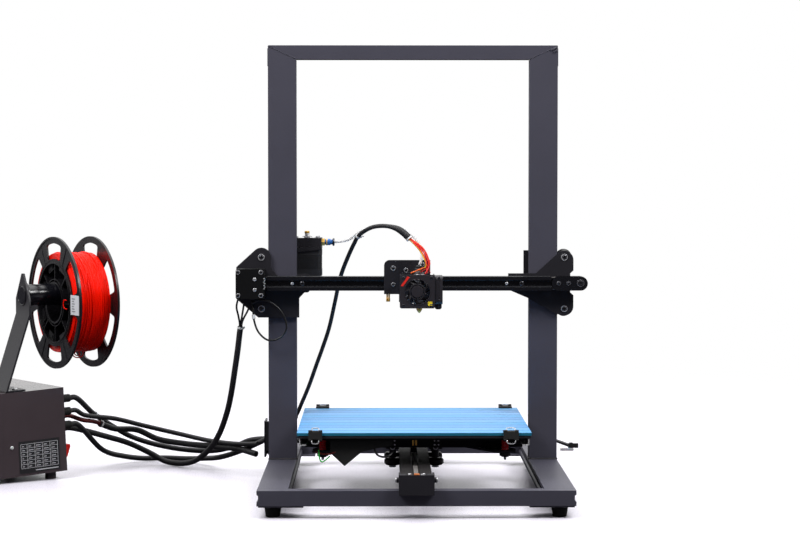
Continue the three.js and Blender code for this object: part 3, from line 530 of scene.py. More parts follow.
def add_world():
    """A white studio: bright behind and above the object, dimmer in front of it."""
    world = bpy.data.worlds.new("studio")
    world.use_nodes = True
    bpy.context.scene.world = world
    nodes, links = world.node_tree.nodes, world.node_tree.links
    background, output = nodes["Background"], nodes["World Output"]
    coords = nodes.new("ShaderNodeTexCoord")
    split = nodes.new("ShaderNodeSeparateXYZ")
    links.new(coords.outputs["Generated"], split.inputs["Vector"])
    depth = map_range(nodes, -0.6, 0.7, 0.02, 1.0)
    links.new(split.outputs["Y"], depth.inputs["Value"])
    height = map_range(nodes, 0.2, 0.9, 0.0, 0.6)
    links.new(split.outputs["Z"], height.inputs["Value"])
    total = nodes.new("ShaderNodeMath")
    links.new(depth.outputs["Result"], total.inputs[0])
    links.new(height.outputs["Result"], total.inputs[1])
    links.new(total.outputs[0], background.inputs["Strength"])
    background.inputs["Color"].default_value = (1.0, 1.0, 1.0, 1)
    seen = nodes.new("ShaderNodeBackground")
    seen.inputs["Color"].default_value = (1, 1, 1, 1)
    choose, path = nodes.new("ShaderNodeMixShader"), nodes.new("ShaderNodeLightPath")
    links.new(path.outputs["Is Camera Ray"], choose.inputs["Fac"])
    links.new(background.outputs[0], choose.inputs[1])
    links.new(seen.outputs[0], choose.inputs[2])
    links.new(choose.outputs[0], output.inputs["Surface"])
    bpy.context.scene.view_settings.view_transform = "Standard"


def add_floor():
    """A pale glossy table top that turns into the white of the studio away from the object."""
    reach = 30.0
    mesh = bpy.data.meshes.new("floor")
    corners = [(-reach, -reach, 0), (reach, -reach, 0), (reach, reach, 0), (-reach, reach, 0)]
    mesh.from_pydata(corners, [], [(0, 1, 2, 3)])
    floor = bpy.data.objects.new("floor", mesh)
    floor.location.z = -0.0002
    bpy.context.scene.collection.objects.link(floor)
    mat = material("table_top", (0.84, 0.81, 0.90), 0.32, mottle=0.01, patch=0.4, grain=0.002, bump=0.0)
    nodes, links = mat.node_tree.nodes, mat.node_tree.links
    coords, length = nodes.new("ShaderNodeTexCoord"), nodes.new("ShaderNodeVectorMath")
    length.operation = "LENGTH"
    links.new(coords.outputs["Object"], length.inputs[0])
    fade = map_range(nodes, 0.55, 2.0)
    fade.interpolation_type = "SMOOTHSTEP"
    links.new(length.outputs["Value"], fade.inputs["Value"])
    white = nodes.new("ShaderNodeEmission")
    choose = nodes.new("ShaderNodeMixShader")
    links.new(fade.outputs["Result"], choose.inputs["Fac"])
    links.new(nodes["Principled BSDF"].outputs[0], choose.inputs[1])
    links.new(white.outputs[0], choose.inputs[2])
    # the object itself sees a duller table, so that little light comes up from below
    dull = nodes.new("ShaderNodeBsdfDiffuse")
    dull.inputs["Color"].default_value = (0.07, 0.066, 0.08, 1)
    bounce, path = nodes.new("ShaderNodeMixShader"), nodes.new("ShaderNodeLightPath")
    links.new(path.outputs["Is Camera Ray"], bounce.inputs["Fac"])
    links.new(dull.outputs[0], bounce.inputs[1])
    links.new(choose.outputs[0], bounce.inputs[2])
    links.new(bounce.outputs[0], nodes["Material Output"].inputs["Surface"])
    mesh.materials.append(mat)


add_camera()
add_world()
add_floor()
add_lamp("left_softbox", (-0.95, -0.95, 1.7), (0.0, 0, 0.5), (0.7, 0.7), 27)
add_lamp("right_softbox", (1.4, -0.95, 1.7), (0.2, 0, 0.5), (0.7, 0.7), 25)
add_lamp("top_softbox", (0.1, 0.4, 2.4), (0.1, 0, 0.2), (2.4, 1.8), 26)

# ---------------------------------------------------------------- cords

Y_MOTOR_ROUTE = [
    (-474, 475, 66), (-446, 505, 42), (-426, 520, 28), (-394, 527, 16), (-349, 514, 9), (-299, 486, 10),
    (-261, 449, 22), (-238, 428, 33), (-215, 420, 36), (-190, 425, 34), (-150, 455, 29), (-110, 488, 29),
    (-76, 520, 29), (-50, 552, 28), (-30, 578, 24), (-12, 598, 20), (6, 598, 18), (22, 597.5, 17),
]
X_MOTOR_ROUTE = [
    (-453, 475, 32), (-424, 500, 19), (-394, 515, 2), (-373, 513, -9), (-351, 500, -11), (-324, 470, -3),
    (-300, 440, 18), (-283, 410, 44), (-269, 380, 80), (-262, 364, 108), (-256, 352, 142), (-251, 346, 174),
    (-247, 343, 205), (-243, 341, 226), (-239, 338, 240), (-237, 337, 247.5),
]
HOTEND_ROUTE = [
    (-464, 485, 12), (-440, 535, -4), (-411, 560, -11), (-379, 565, -11), (-345, 548, -10), (-313, 520, -6),
    (-285, 475, 2), (-254, 435, 16), (-228, 408, 30), (-205, 400, 42), (-184, 397, 54), (-170, 392, 72),
    (-160, 387, 94), (-150, 384, 118), (-139, 383, 149), (-131, 383, 171), (-121, 382, 201), (-112, 370, 240),
    (-104, 350, 276), (-93, 322, 306), (-83.4, 304, 327), (-76.5, 292, 339), (-60, 280, 350),
    (-42, 270, 353), (-24, 262, 349.8), (-13, 258.5, 343), (-5, 255.8, 334.5), (7, 250, 322), (15, 245, 311),
    (19, 241, 300), (20, 239, 289),
]
TUBE_ROUTE = [
    (-111.4, 345, 328.4), (-98, 341, 330), (-88, 326, 334), (-78, 307, 342), (-62, 292, 350),
    (-43, 281, 353.5), (-25, 273, 351.5), (-11, 268, 346), (1, 264, 337.5), (9, 260, 325), (11.5, 257, 313),
    (10.5, 254.3, 305.5), (8.5, 252.3, 299.2),
]
Z_MOTOR_ROUTE = [
    (-484, 440, 69), (-443, 480, 59), (-403, 495, 47), (-349, 490, 35), (-299, 460, 28), (-250, 420, 28),
    (-226, 400, 31),
]
BED_ROUTE = [
    (-488, 440, 62), (-471, 465, 56), (-446, 490, 43), (-414, 500, 40), (-382, 500, 26), (-339, 490, 20),
    (-295, 460, 20), (-254, 425, 20), (-228, 400, 16),
]


def socket_point(name, along):
    y, z = SOCKETS[name]
    return BOX_TURN @ Vector((along, y, z))


def from_socket(name, route):
    return smooth_path([socket_point(name, SOCKET_LONG + 0.3), socket_point(name, SOCKET_LONG + 8), *route])


def split_at(path, *places):
    """The path in parts, cut at its nearest points to the places."""
    cuts = [min(range(len(path)), key=lambda i: (path[i] - Vector(p)).length) for p in places]
    return [path[a:b + 1] for a, b in zip([0, *cuts], [*cuts, len(path) - 1])]


def blended(obj, body, other, start, end):
    """Bakes the piece's place into its mesh; the piece rides on no body, and body, other, start and end are
    not used.
    """
    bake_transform(obj)


def cord_piece(name, path, diameter, mat, body, blend=None,
               sides=14):
    """A free cord: a tube along the path."""
    tube = Piece().add(swept(path, diameter / 2, sides))
    obj = make(name, tube, [mat], None if blend else body, bevel=0, angle=60)
    if blend:
        blended(obj, body, *blend)
    return obj


def tie(name, path, place, radius, mat, body, blend=None):
    """A cable tie round a cord, with its square head."""
    i = min(range(1, len(path) - 1), key=lambda k: (path[k] - Vector(place)).length)
    along = (path[i + 1] - path[i - 1]).normalized()
    turn = aim(*path[i], along)
    piece = Piece()
    piece.add(ring(radius, radius + 0.9, -1.3, 1.3, 24), 0, turn)
    piece.add(slab(radius - 0.5, radius + 3.2, -2, 2, -1.8, 1.8), 0, turn)
    piece.add(slab(radius + 3, radius + 7, -0.6, 0.6, -1.2, 1.2), 0, turn)
    obj = make(name, piece, [mat], None if blend else body, bevel=0.2)
    if blend:
        blended(obj, body, *blend)


def add_motor_cables():
    y_path = from_socket("motorY", Y_MOTOR_ROUTE)
    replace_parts(cord_piece("y_motor_cable", y_path, 8, SLEEVE, "frame"), "y_motor_loom")
    tie("y_motor_tie", y_path, (-474, 475, 66), 4.0, CLEAR_TIE, "frame")

    x_path = from_socket("motorX", X_MOTOR_ROUTE)
    lift, sleeve_end = (-283, 410, 44), (-247, 343, 208)
    base, riser, _ = split_at(x_path, lift, sleeve_end)
    cord_piece("x_motor_cable_base", base, 8.5, SLEEVE, "frame")
    follow = ("gantry", lift, sleeve_end)
    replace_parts(cord_piece("x_motor_cable_riser", riser, 8.5, SLEEVE, "frame", follow), "x_motor_loom")
    tie("x_motor_tie", riser, riser[-2], 4.25, WHITE_NYLON, "frame", follow)
    top = riser[-1]
    wires = [[(-249.5, 340, 222), (-252, 337, 236), (-249, 335, 249.6)],
             [(-244.5, 341, 222), (-242, 337, 236), (-240, 335, 249.6)],
             [(-242, 339, 219), (-236, 334, 230), (-230, 326, 244)]]
    for i, route in enumerate(wires):
        side = Vector(((i - 1) * 1.5, (-1, 1, -1)[i], 0))
        wire = smooth_path([top + side - Vector((0, 0, 5)), top + side + Vector((0.3, 0, 4)), *route], 1.5)
        cord_piece(f"x_motor_wire_{i + 1}", wire, 2.8, WIRE["black"], "gantry", sides=10)


def add_hotend_cables():
    hot_path = from_socket("hotend", HOTEND_ROUTE)
    lift, top, wires_from = (-170, 392, 72), (-104, 350, 276), (-5.5, 256, 335.2)
    base, riser, arch, _ = split_at(hot_path, lift, top, wires_from)
    cord_piece("hotend_cable_base", base, 8, SLEEVE, "frame")
    cord_piece("hotend_cable_riser", riser, 5.8, SLEEVE, "frame", ("gantry", lift, top))
    over = ("carriage", top, wires_from)
    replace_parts(cord_piece("hotend_cable_arch", arch, 6, SLEEVE, "gantry", over), "hotend_loom")
    # the sleeve bulges towards the hot end
    start = min(range(len(arch)), key=lambda i: abs(arch[i].x + 38))
    loops = []
    for i, (p, across) in enumerate(zip(arch[start:], directions(arch[start:]))):
        t = min(1, i / 14)
        r = 2.9 + 2.0 * t * t * (3 - 2 * t) - (0.5 if i > len(arch) - start - 3 else 0)
        loops.append(ring_around(p, across, r, 16))
    bulge = make("hotend_sleeve_bulge", Piece().add(woven_tube(loops, 1.9, 2)), [SLEEVE], None,
                 bevel=0, angle=60)
    blended(bulge, "gantry", *over)
    tie("hotend_tie", arch, (-79, 294, 341), 3, WHITE_NYLON, "gantry", over)
    collar = Piece()
    collar.add(ring(3.0, 4.9, -1, 1.2, 24), 0,
               aim(*arch[-1], arch[-1] - arch[-3]))
    make("hotend_sleeve_end", collar, [WHITE_NYLON], "carriage", bevel=0.3)
    ends = [("red", (10, 243, 289.5)), ("orange", (-4, 240, 288)), ("black", (14, 246, 289)),
            ("red", (19, 238, 288)), ("yellow", (2, 247, 290)), ("red", (23, 247, 288.5)),
            ("red", (16, 236, 287.5))]
    for i, (colour, end) in enumerate(ends):
        swing = Vector((math.cos(i * TAU / 7), 0.6 * math.sin(i * TAU / 7), 0.8 * math.sin(i * TAU / 7)))
        route = [arch[-1] + swing, Vector((3.4, 252, 328.3)) + 2.2 * swing,
                 Vector((11.7, 248, 320)) + 3.2 * swing, Vector((17.0, 244, 310)) + 3.0 * swing,
                 Vector((19.5, 241, 299)) + 2.6 * swing, Vector(end)]
        wire = smooth_path(route, 1.5)
        cord_piece(f"hotend_wire_{i + 1}", wire, 1.9, WIRE[colour], "carriage", sides=10)

    tube = smooth_path(TUBE_ROUTE, 2)
    guided = ("carriage", TUBE_ROUTE[1], TUBE_ROUTE[-2])
    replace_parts(cord_piece("feed_tube", tube, 4, WHITE_PTFE, "gantry", guided,
                           sides=18), "filament_tube")


def add_other_cables():
    cord_piece("z_motor_cable", from_socket("motorZ", Z_MOTOR_ROUTE), 7, SLEEVE, "frame")
    bed_path = from_socket("bed", BED_ROUTE)
    leads, rest = split_at(bed_path, (-466, 470, 54))
    cord_piece("bed_leads", leads, 6.5, RED_SLEEVE, "frame")
    cord_piece("bed_cable", rest, 9, SLEEVE, "frame")
    tie("bed_tie", rest, (-463, 473, 52), 4.5, WHITE_NYLON, "frame")

    end = Piece()
    end.add(slab(224.5, 239, 342.5, 347.5, 31.5, 38), 0)
    end.add(slab(226, 231, 341.5, 348.5, 33, 39), 0)
    end.add(slab(213, 232, 341, 345.5, 27.5, 31.4), 1)
    plug = make("bed_switch_plug", end, [RUBBER, CLEAR_TIE], "frame", bevel=0.5)
    stub = smooth_path([(188, 347, 45), (197, 346, 44.2), (206, 345, 42), (216, 345, 38.6),
                        (225, 345, 35.2)], 1.5)
    cord_piece("bed_switch_cable", stub, 5, WIRE["black"], "frame", sides=14)

    loop = [(-229, 306, 249), (-226, 299, 236), (-225, 296, 221), (-218, 295, 202), (-204, 294, 191),
            (-187, 294, 195), (-179, 294, 207), (-182, 294, 224), (-192, 294, 238), (-207, 294, 247),
            (-221, 295, 246.5), (-228, 298, 242)]
    cord_piece("end_stop_cable", smooth_path(loop, 1.5), 2.8, WIRE["black"], "gantry",
               sides=10)
    plug = Piece().add(slab(-2.2, 2.2, -1.6, 1.6, -3.2, 3.2), 0, aim(-225.2, 296.5, 224, (0.1, -0.2, -1)))
    make("end_stop_plug", plug, [WHITE_NYLON], "gantry", bevel=0.4)


add_motor_cables()
add_hotend_cables()
add_other_cables()

# ---------------------------------------------------------------- hardware


def at(x, y, z, direction=UP):
    """Like aim(), but a place that points up or down keeps X along X."""
    if direction == UP:
        return Matrix.Translation((x, y, z))
    if direction == DOWN:
        return Matrix.Translation((x, y, z)) @ Matrix.Rotation(math.pi, 4, "X")
    return aim(x, y, z, direction)


def screw(piece, r, place, kind=0, height=None):
    """A button head with a hex socket. Its seat is at the place, its head along the place's Z."""
    h = height or r * 0.62
    hole = r * 0.42
    piece.add(turned([(0, -0.3), (r, -0.3), (r, h * 0.3), (r * 0.88, h * 0.74), (r * 0.6, h), (hole, h, 6),
                      (hole, h * 0.35, 6), (0, h * 0.35)], 36), kind, place)


def cap_screw(piece, r, height, place, kind=0):
    """A cylinder head with a hex socket."""
    hole = r * 0.5
    piece.add(turned([(0, -0.3), (r, -0.3), (r, height - 0.3), (r - 0.3, height), (hole, height, 6),
                      (hole, height * 0.45, 6), (0, height * 0.45)], 36), kind, place)


def nut(piece, r, height, bore, place, kind=0):
    piece.add(turned([(bore, 0), (r * 0.93, 0, 6), (r, 0.4, 6), (r, height - 0.4, 6), (r * 0.93, height, 6),
                      (bore, height), (bore, 0)], 36), kind, place)


def washer(piece, r, bore, place, kind=0, height=1.0):
    piece.add(ring(bore, r, 0, height, 32), kind, place)


def wheel(piece, place):
    """A V wheel with its two bearings: material 0 is the nylon, 1 the bearings' steel, 2 their seals."""
    nylon = [(6.4, -4.7), (6.9, -5), (9, -5), (9.2, -4.6), (11.25, -2.55), (11.4, -2.3), (11.4, -0.3),
             (11.2, 0), (11.4, 0.3), (11.4, 2.3), (11.25, 2.55), (9.2, 4.6), (9, 5), (6.9, 5), (6.4, 4.7),
             (6.4, -4.7)]
    piece.add(turned(nylon, 48), 0, place)
    for low, high in ((-4.9, -0.5), (0.5, 4.9)):
        for inner, outer, kind, trim in ((2.6, 3.6, 1, 0), (3.6, 5.6, 2, 0.4), (5.6, 6.4, 1, 0)):
            lo, hi = low + trim, high - trim
            piece.add(ring(inner, outer, lo, hi, 32), kind, place)


def add_wheel(name, node, place):
    piece = Piece()
    wheel(piece, place)
    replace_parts(make(name, piece, [NYLON, STEEL, RUBBER], node, bevel=0), node)


def motor(piece, place, shaft, connector=True):
    """A stepper: material 0 is the black body, 1 its cast ends, 2 steel, 3 the white plug."""
    def section(half, chamfer):
        a, b = half, half - chamfer
        return [(a, -b), (a, b), (b, a), (-b, a), (-a, b), (-a, -b), (-b, -a), (b, -a)]
    for low, high, half, chamfer, kind in ((-MOTOR_LONG, -MOTOR_LONG + 9.5, 21, 4, 1),
                                           (-MOTOR_LONG + 9.5, -8.5, 20.7, 5, 0), (-8.5, 0, 21, 4, 1)):
        piece.add(plate(section(half, chamfer), low, high), kind, place)
    for z in [-MOTOR_LONG + 9.7 + i * 1.6 for i in range(int((MOTOR_LONG - 18.4) / 1.6))]:
        piece.add(plate(section(20.85, 5.1), z, z + 0.6), 0, place)
    piece.add(turned([(0, -1), (11, -1), (11, 1.8), (4, 1.8), (4, 1.2), (0, 1.2)], 40), 1, place)
    piece.add(turned([(0, 0), (2.5, 0), (2.5, shaft - 0.4), (2.1, shaft), (0, shaft)], 24), 2, place)
    for sx in (-1, 1):
        for sy in (-1, 1):
            piece.add(turned([(0, -MOTOR_LONG - 0.1), (2.6, -MOTOR_LONG - 0.1), (2.6, -MOTOR_LONG - 1.6),
                              (1.6, -MOTOR_LONG - 2), (0, -MOTOR_LONG - 1.6)],
                             24), 2, place @ Matrix.Translation((15.5 * sx, 15.5 * sy, 0)))
    if connector:
        piece.add(slab(-8, 8, 20.5, 27, -MOTOR_LONG + 1, -MOTOR_LONG + 8), 3, place)
        piece.add(slab(-7, 7, 21, 25.5, -MOTOR_LONG - 0.2, -MOTOR_LONG + 1.2), 0, place)


MOTOR_LOOK = [PLASTIC, ALUMINIUM, STEEL, WHITE_NYLON]


def pulley(piece, r, half, place, kind=0):
    """A toothed belt pulley with two flanges, its middle at the place."""
    piece.add(turned([(0, -half), (r + 1.2, -half), (r + 1.2, -half + 0.9), (r, -half + 0.9), (r, half - 0.9),
                      (r + 1.2, half - 0.9), (r + 1.2, half), (0, half)], 40), kind, place)
    for i in range(PULLEY_TEETH):
        turn = Matrix.Rotation(TAU * i / PULLEY_TEETH, 4, "Z")
        piece.add(slab(r - 0.6, r + 0.45, -0.5, 0.5, -half + 0.9, half - 0.9), kind, place @ turn)


# ---------------------------------------------------------------- frame


def weld_bead(piece, start, end, r):
    """A run of small overlapping lumps, as a weld has."""
    start, end = Vector(start), Vector(end)
    count = max(3, int((end - start).length / (r * 0.9)))
    for i in range(count + 1):
        p = start.lerp(end, i / count)
        size = r * random.uniform(0.85, 1.15)
        rows = [(0, -size), (size * 0.75, -size * 0.6), (size, 0), (size * 0.75, size * 0.6), (0, size)]
        piece.add(turned(rows, 10), 0, Matrix.Translation(p))


def add_frame_details():
    beads = Piece()
    for sign in (-1, 1):
        x0, x1 = sorted((sign * 165.5, sign * 204.5))
        weld_bead(beads, (x0, 308.7, 20.6), (x1, 308.7, 20.6), 1.5)
        weld_bead(beads, (sign * 164.7, 309.5, 20.6), (sign * 164.7, 328.5, 20.6), 1.3)
    make("weld_beads", beads, [material("weld", (0.022, 0.020, 0.024), 0.45, mottle=0.3, patch=0.004,
                                        bump=0.5)],
         "frame", bevel=0)
    seams = Piece()
    for sign in (-1, 1):
        weld_bead(seams, (sign * 204, 308.9, 606), (sign * 166, 308.9, 588.5), 0.55)
    for sign in (-1, 1):
        x0, x1 = sorted((sign * 203.5, sign * 205.7))
        seams.add(slab(x0, x1, 311, 327, 578, 603), 0)
    weld_bead(seams, (196, 308.4, 600.5), (202, 308.4, 604), 1.5)
    weld_bead(seams, (199, 308.4, 597.5), (203.5, 308.4, 600), 1.3)
    make("mitre_seams", seams, [PAINT], "frame", bevel=0.3)
    screws = Piece()
    for x in (-190, -176, 176, 190):
        for y in (10, DEPTH - 10):
            cap_screw(screws, 3.4, 1.2, at(x, y, -1.9, DOWN))
    for x in (-195, -175, 175, 195):
        screw(screws, 3.2, at(x, 329.2, 29, BACK))
        screw(screws, 3.2, at(x, 329.2, 43, BACK))
    clamp = Piece()
    clamp.add(slab(-206.5, -197.5, 331, 337.5, 39, 69), 0)
    for z0, z1, x1 in ((58.5, 66.5, -200.6), (51.5, 56.0, -201.8), (44.0, 49.5, -199.4)):
        clamp.add(slab(-205.3, x1, 327.5, 332, z0, z1), 1)
    for z in (42, 57.2):
        cap_screw(clamp, 1.5, 1.0, at(-199.6, 331, z, FRONT), 2)
    make("cable_clamp", clamp, [PLATE_BLACK, WHITE_NYLON, STEEL], "frame", bevel=0.3)
    make("frame_screws", screws, [DARK_STEEL], "frame", bevel=0.15)
    for end, y in (("front", 20), ("rear", DEPTH - 20)):
        for side, x in (("left", -185), ("right", 185)):
            foot = Piece()
            profile = [(0, -15.4), (5.5, -15.4), (6, -16), (8.4, -16), (9, -15.3), (9.6, -12.5), (9.3, -12.2),
                       (9.7, -11.6), (11, -3), (10.7, -2.3), (4, -2.2), (0, -2.2)]
            foot.add(turned(profile, 48), 0, at(x, y, 0))
            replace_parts(make(f"rubber_foot_{end}_{side}", foot, [RUBBER], "frame", bevel=0.3),
                        f"foot_{end}_{side}")


def belt_loop(ends, r, y_or_x, axis):
    """A closed path round two pulleys of radius r. ends are the pulleys' (along, height) places."""
    (a0, z0), (a1, z1) = ends
    out = []
    for i in range(13):
        t = math.pi / 2 + math.pi * i / 12
        out.append((a0 + r * math.cos(t), z0 + r * math.sin(t)))
    run = int((a1 - a0) / 3)
    out += [(a0 + (a1 - a0) * i / run, z0 - r) for i in range(1, run)]
    for i in range(13):
        t = -math.pi / 2 + math.pi * i / 12
        out.append((a1 + r * math.cos(t), z1 + r * math.sin(t)))
    out += [(a1 + (a0 - a1) * i / run, z0 + r) for i in range(1, run)]
    if axis == "Y":
        return [Vector((y_or_x, a, z)) for a, z in out]
    return [Vector((a, y_or_x, z)) for a, z in out]


def add_rail_details():
    belt = Piece().add(band(belt_loop([(-6.3, 31.5), (BED_MOTOR_Y, 31.5)], 6.1, 0, "Y"), (1, 0, 0), 2.9, 0.5))
    make("bed_belt", belt, [BELT], "frame", bevel=0)
    bits = Piece()
    for sign in (-1, 1):
        cap_screw(bits, 3.1, 2.4, at(sign * 25.0, 6, 33, RIGHT if sign > 0 else LEFT), 0)
        cap_screw(bits, 2.2, 1.6, at(sign * 9, -10.5, 42.1, UP), 0)
    pulley(bits, 5.2, 4.4, at(0, -6.3, 31.5, RIGHT), 0)
    bits.add(slab(-3.2, 3.6, -13.4, -3, 40.6, 42.9), 1)
    bits.add(slab(5.2, 8.4, -13.4, -6, 41.3, 42.6), 0)
    make("rail_front_bits", bits, [STEEL, COPPER], "frame", bevel=0.2)
    back = Piece()
    middle, near = BED_MOTOR_Y, DEPTH + 0.3
    motor(back, at(12, middle, 31.5, LEFT), 16, connector=False)
    back.add(slab(9, 12.5, middle - 21, middle + 21, 10.5, 52.5), 0)
    back.add(slab(9, 12.5, near, middle, 20.6, 40.3), 0)
    back.add(slab(-18, -4.6, near, near + 2.7, 20.6, 40.3), 0)
    back.add(slab(4.6, 12, near, near + 2.7, 20.6, 40.3), 0)
    back.add(slab(-4.8, 4.8, near, near + 2.7, 20.6, 23.2), 0)
    pulley(back, 5.2, 4.5, at(0, middle, 31.5, RIGHT), 1)
    for y in (-15.5, 15.5):
        for z in (-15.5, 15.5):
            cap_screw(back, 2.7, 2.4, at(9, middle + y, 31.5 + z, LEFT), 2)
    back.add(slab(14, 30, middle + 21, middle + 26, 13, 20), 3)
    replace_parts(make("bed_motor", back, MOTOR_LOOK, "frame", bevel=0.35), "y_motor")


def add_z_drive():
    piece = Piece()
    motor(piece, at(*SCREW_AXIS, 62.3), 14, connector=False)
    deck = plate(rounded(-210, -168, 329.3, 375, 2), 62.3, 65, [circle(*SCREW_AXIS, 11.6, 32)])
    piece.add(deck, 0)
    piece.add(slab(-212.5, -210, 329.3, 375, 20.6, 72), 0)
    piece.add(slab(-212.5, -168, 329.3, 332.5, 30, 72), 0)
    for x in (-15.5, 15.5):
        for y in (-15.5, 15.5):
            cap_screw(piece, 2.7, 2.6, at(SCREW_AXIS[0] + x, SCREW_AXIS[1] + y, 65), 2)
    piece.add(slab(-197, -181, 375, 380.5, 26, 33), 3)
    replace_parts(make("z_motor_and_mount", piece, MOTOR_LOOK, "frame", bevel=0.35), "z_motor")
    drive = Piece()
    here = at(*SCREW_AXIS, 0)
    coupler = [(2.9, 66), (9.1, 66), (9.5, 66.4)]
    for z in (74, 77, 80, 83):
        coupler += [(9.5, z), (8.2, z + 0.1), (8.2, z + 1.2), (9.5, z + 1.3)]
    coupler += [(9.5, 90.6), (9.1, 91), (4, 91), (4, 77), (2.9, 77), (2.9, 66)]
    drive.add(turned(coupler, 40), 0, here)
    thread = [(0, 78)]
    z = 91.0
    while z < 509:
        thread += [(3.15, z), (3.95, z + 0.55), (3.95, z + 1.1), (3.15, z + 1.65)]
        z += 2.0
    drive.add(turned([*thread, (3.2, 510.5), (2.4, 512), (0, 512)], 20), 1, here)
    for z in (69, 87):
        cap_screw(drive, 1.8, 0.5, at(SCREW_AXIS[0], 344.6, z, FRONT), 1)
    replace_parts(make("lead_screw_and_coupler", drive, [ALUMINIUM, STEEL], "lead_screw", bevel=0),
                "z_lead_screw")


# ---------------------------------------------------------------- bed

BED = {"x": -1.5, "y": 242, "half": 155, "spring": 121.7}


def binder_clip(piece, x0, x1, edge, sign):
    """A clip on the bed's edge. sign is -1 at the front edge, where the clip's base faces the viewer."""
    def out(y):
        return edge + sign * y
    # outline of the folded sheet, from the upper jaw round the base to the lower jaw, as (outward, z)
    sheet = [(-8.2, 86.0), (-8.8, 85.2), (-8.0, 84.4), (-6.5, 84.6), (6.9, 86.9), (7.6, 86.2), (7.6, 76.8),
             (6.9, 76.1), (-6.5, 75.9), (-8.0, 76.1), (-8.8, 75.3), (-8.2, 74.6)]
    loops = []
    for i, (y, z) in enumerate(sheet):
        before, after = sheet[max(i - 1, 0)], sheet[min(i + 1, len(sheet) - 1)]
        along = Vector((after[0] - before[0], after[1] - before[1])).normalized()
        ny, nz = -along.y * 0.3, along.x * 0.3
        loops.append([(x0, out(y + ny), z + nz), (x1, out(y + ny), z + nz), (x1, out(y - ny), z - nz),
                      (x0, out(y - ny), z - nz)])
    piece.add(rings(loops), 0)
    # the rolled ends that the wire arms hinge in
    for x in (x0, x1 - 5):
        for z in (87.0, 75.6):
            piece.add(turned([(0, 0), (1.5, 0), (1.7, 0.3), (1.7, 4.7), (1.5, 5), (0, 5)], 16), 0,
                      aim(x, out(6.4), z, RIGHT))
    middle, half = (x0 + x1) / 2, (x1 - x0) / 2 - 4.4
    for z0, lift in ((87.2, 2.4), (75.2, -4.2)):
        path = [(middle - half, out(6.6), z0), (middle - half, out(2), z0 + lift * 0.4),
                (middle - half * 0.8, out(-6), z0 + lift), (middle + half * 0.8, out(-6), z0 + lift),
                (middle + half, out(2), z0 + lift * 0.4), (middle + half, out(6.6), z0)]
        if lift < 0:
            path = [(x, out(6.6 if k in (0, 5) else 8.2), z) for k, (x, _, z) in enumerate(path)]
        piece.add(swept(smooth_path(path, 1.2), 0.75, 8), 1)


def add_bed():
    x, y, half = BED["x"], BED["y"], BED["half"]
    surface = Piece()
    surface.add(plate(rounded(x - half, x + half, y - half, y + half, 2), 80.1, 83.6), 4)
    width = 2 * half / 10
    front = Piece()
    for i in range(10):
        seam = y - half + (i + 1) * width
        # a darker band at the end of each strip, where the next one overlaps it: painted shade of the
        # overlap's step
        surface.add(slab(x - half - 0.2, x + half + 0.2, seam - 4.2, min(seam, y + half) - 0.1, 83.6, 84.0),
                    3)
        y0, y1 = y - half + i * width, seam - 4.3
        rows = [(x - half - 0.25, 81.0), (x - half - 0.25, 83.7), (x - half + 0.2, 84.0),
                (x + half - 0.2, 84.0), (x + half + 0.25, 83.7), (x + half + 0.25, 81.2)]
        loops = [[(a, y0, b), (a, y1, b), (inward(a, b, x)[0], y1, inward(a, b, x)[1]),
                  (inward(a, b, x)[0], y0, inward(a, b, x)[1])] for a, b in rows]
        surface.add(rings(loops), i % 3)
    # the tape folded over the front and rear edges; the lips' darker teal is painted shade
    front.add(slab(x - half + 0.4, x + half - 0.4, y - half - 0.5, y - half - 0.1, 80.2, 83.7), 0)
    front.add(slab(x - half + 0.4, x + half - 0.4, y + half + 0.1, y + half + 0.5, 80.4, 83.7), 0)
    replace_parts(make("glass_with_tape", surface, [*TAPE, GLASS_EDGE], "bed", bevel=0),
                "bed_surface")
    make("tape_edges", front, [SHADED_TAPE_EDGE], "bed", bevel=0.1)
    clips = Piece()
    for x0, x1 in ((-141, -123), (116, 136)):
        binder_clip(clips, x0, x1, y - half, -1)
    for x0, x1 in ((-140, -121), (127, 146)):
        binder_clip(clips, x0, x1, y + half, 1)
    make("binder_clips", clips, [RUBBER, STEEL], "bed", bevel=0)
    pad = Piece()
    pad.add(slab(x - half + 6, x + half - 6, y - half + 6, y + half - 6, 73.6, 76.5), 0)
    # two dark sheets hang under the bed, one behind the front springs: painted shade that stands in for the
    # bed's shadow
    pad.add(slab(x - half + 8, x + half - 8, y - 92, y - 91, 57.4, 74), 0)
    pad.add(slab(x - half + 8, x + half - 8, y + 91, y + 92, 57.4, 74), 0)
    for sign in (-1, 1):
        corner = x + sign * (half - 3.2)
        near, far = sorted((corner, corner - sign * 1.2))
        pad.add(slab(near, far, y - half + 1, y + half - 1, 67.5, 76.6), 1)
        near, far = sorted((corner, corner - sign * 9))
        pad.add(slab(near, far, y - half + 1, y + half - 1, 67.0, 68.2), 1)
    make("bed_underside", pad, [material("foil_black", (0.008, 0.008, 0.009), 0.7, patch=0.01, bump=0.4,
                                         Specular_IOR_Level=0.2), FIBRE],
         "bed", bevel=0.3)
    springs = Piece()
    for sx in (-1, 1):
        for sy in (-1, 1):
            kx, ky = x + sx * BED["spring"], y + sy * BED["spring"]
            coil = []
            for i in range(151):
                turn = 8.5 * TAU * i / 150
                lift = min(1, max(0, (i / 150 - 0.06) / 0.88))
                coil.append(Vector((kx + 3.9 * math.cos(turn), ky + 3.9 * math.sin(turn), 58 + 17.6 * lift)))
            springs.add(swept(coil, 1.0, 8), 0)
    make("bed_springs", springs, [RED_SPRING], "bed", bevel=0)
    for end, sy in (("front", -1), ("rear", 1)):
        for side, sx in (("left", -1), ("right", 1)):
            add_leveling_knob(f"{end}_{side}", x + sx * BED["spring"], y + sy * BED["spring"])
    add_bed_carriage()


def inward(a, b, middle):
    """The inner side of a strip of tape 0.2 thick."""
    if b > 83.9:
        return a, b - 0.2
    return a + (0.2 if a < middle else -0.2), b


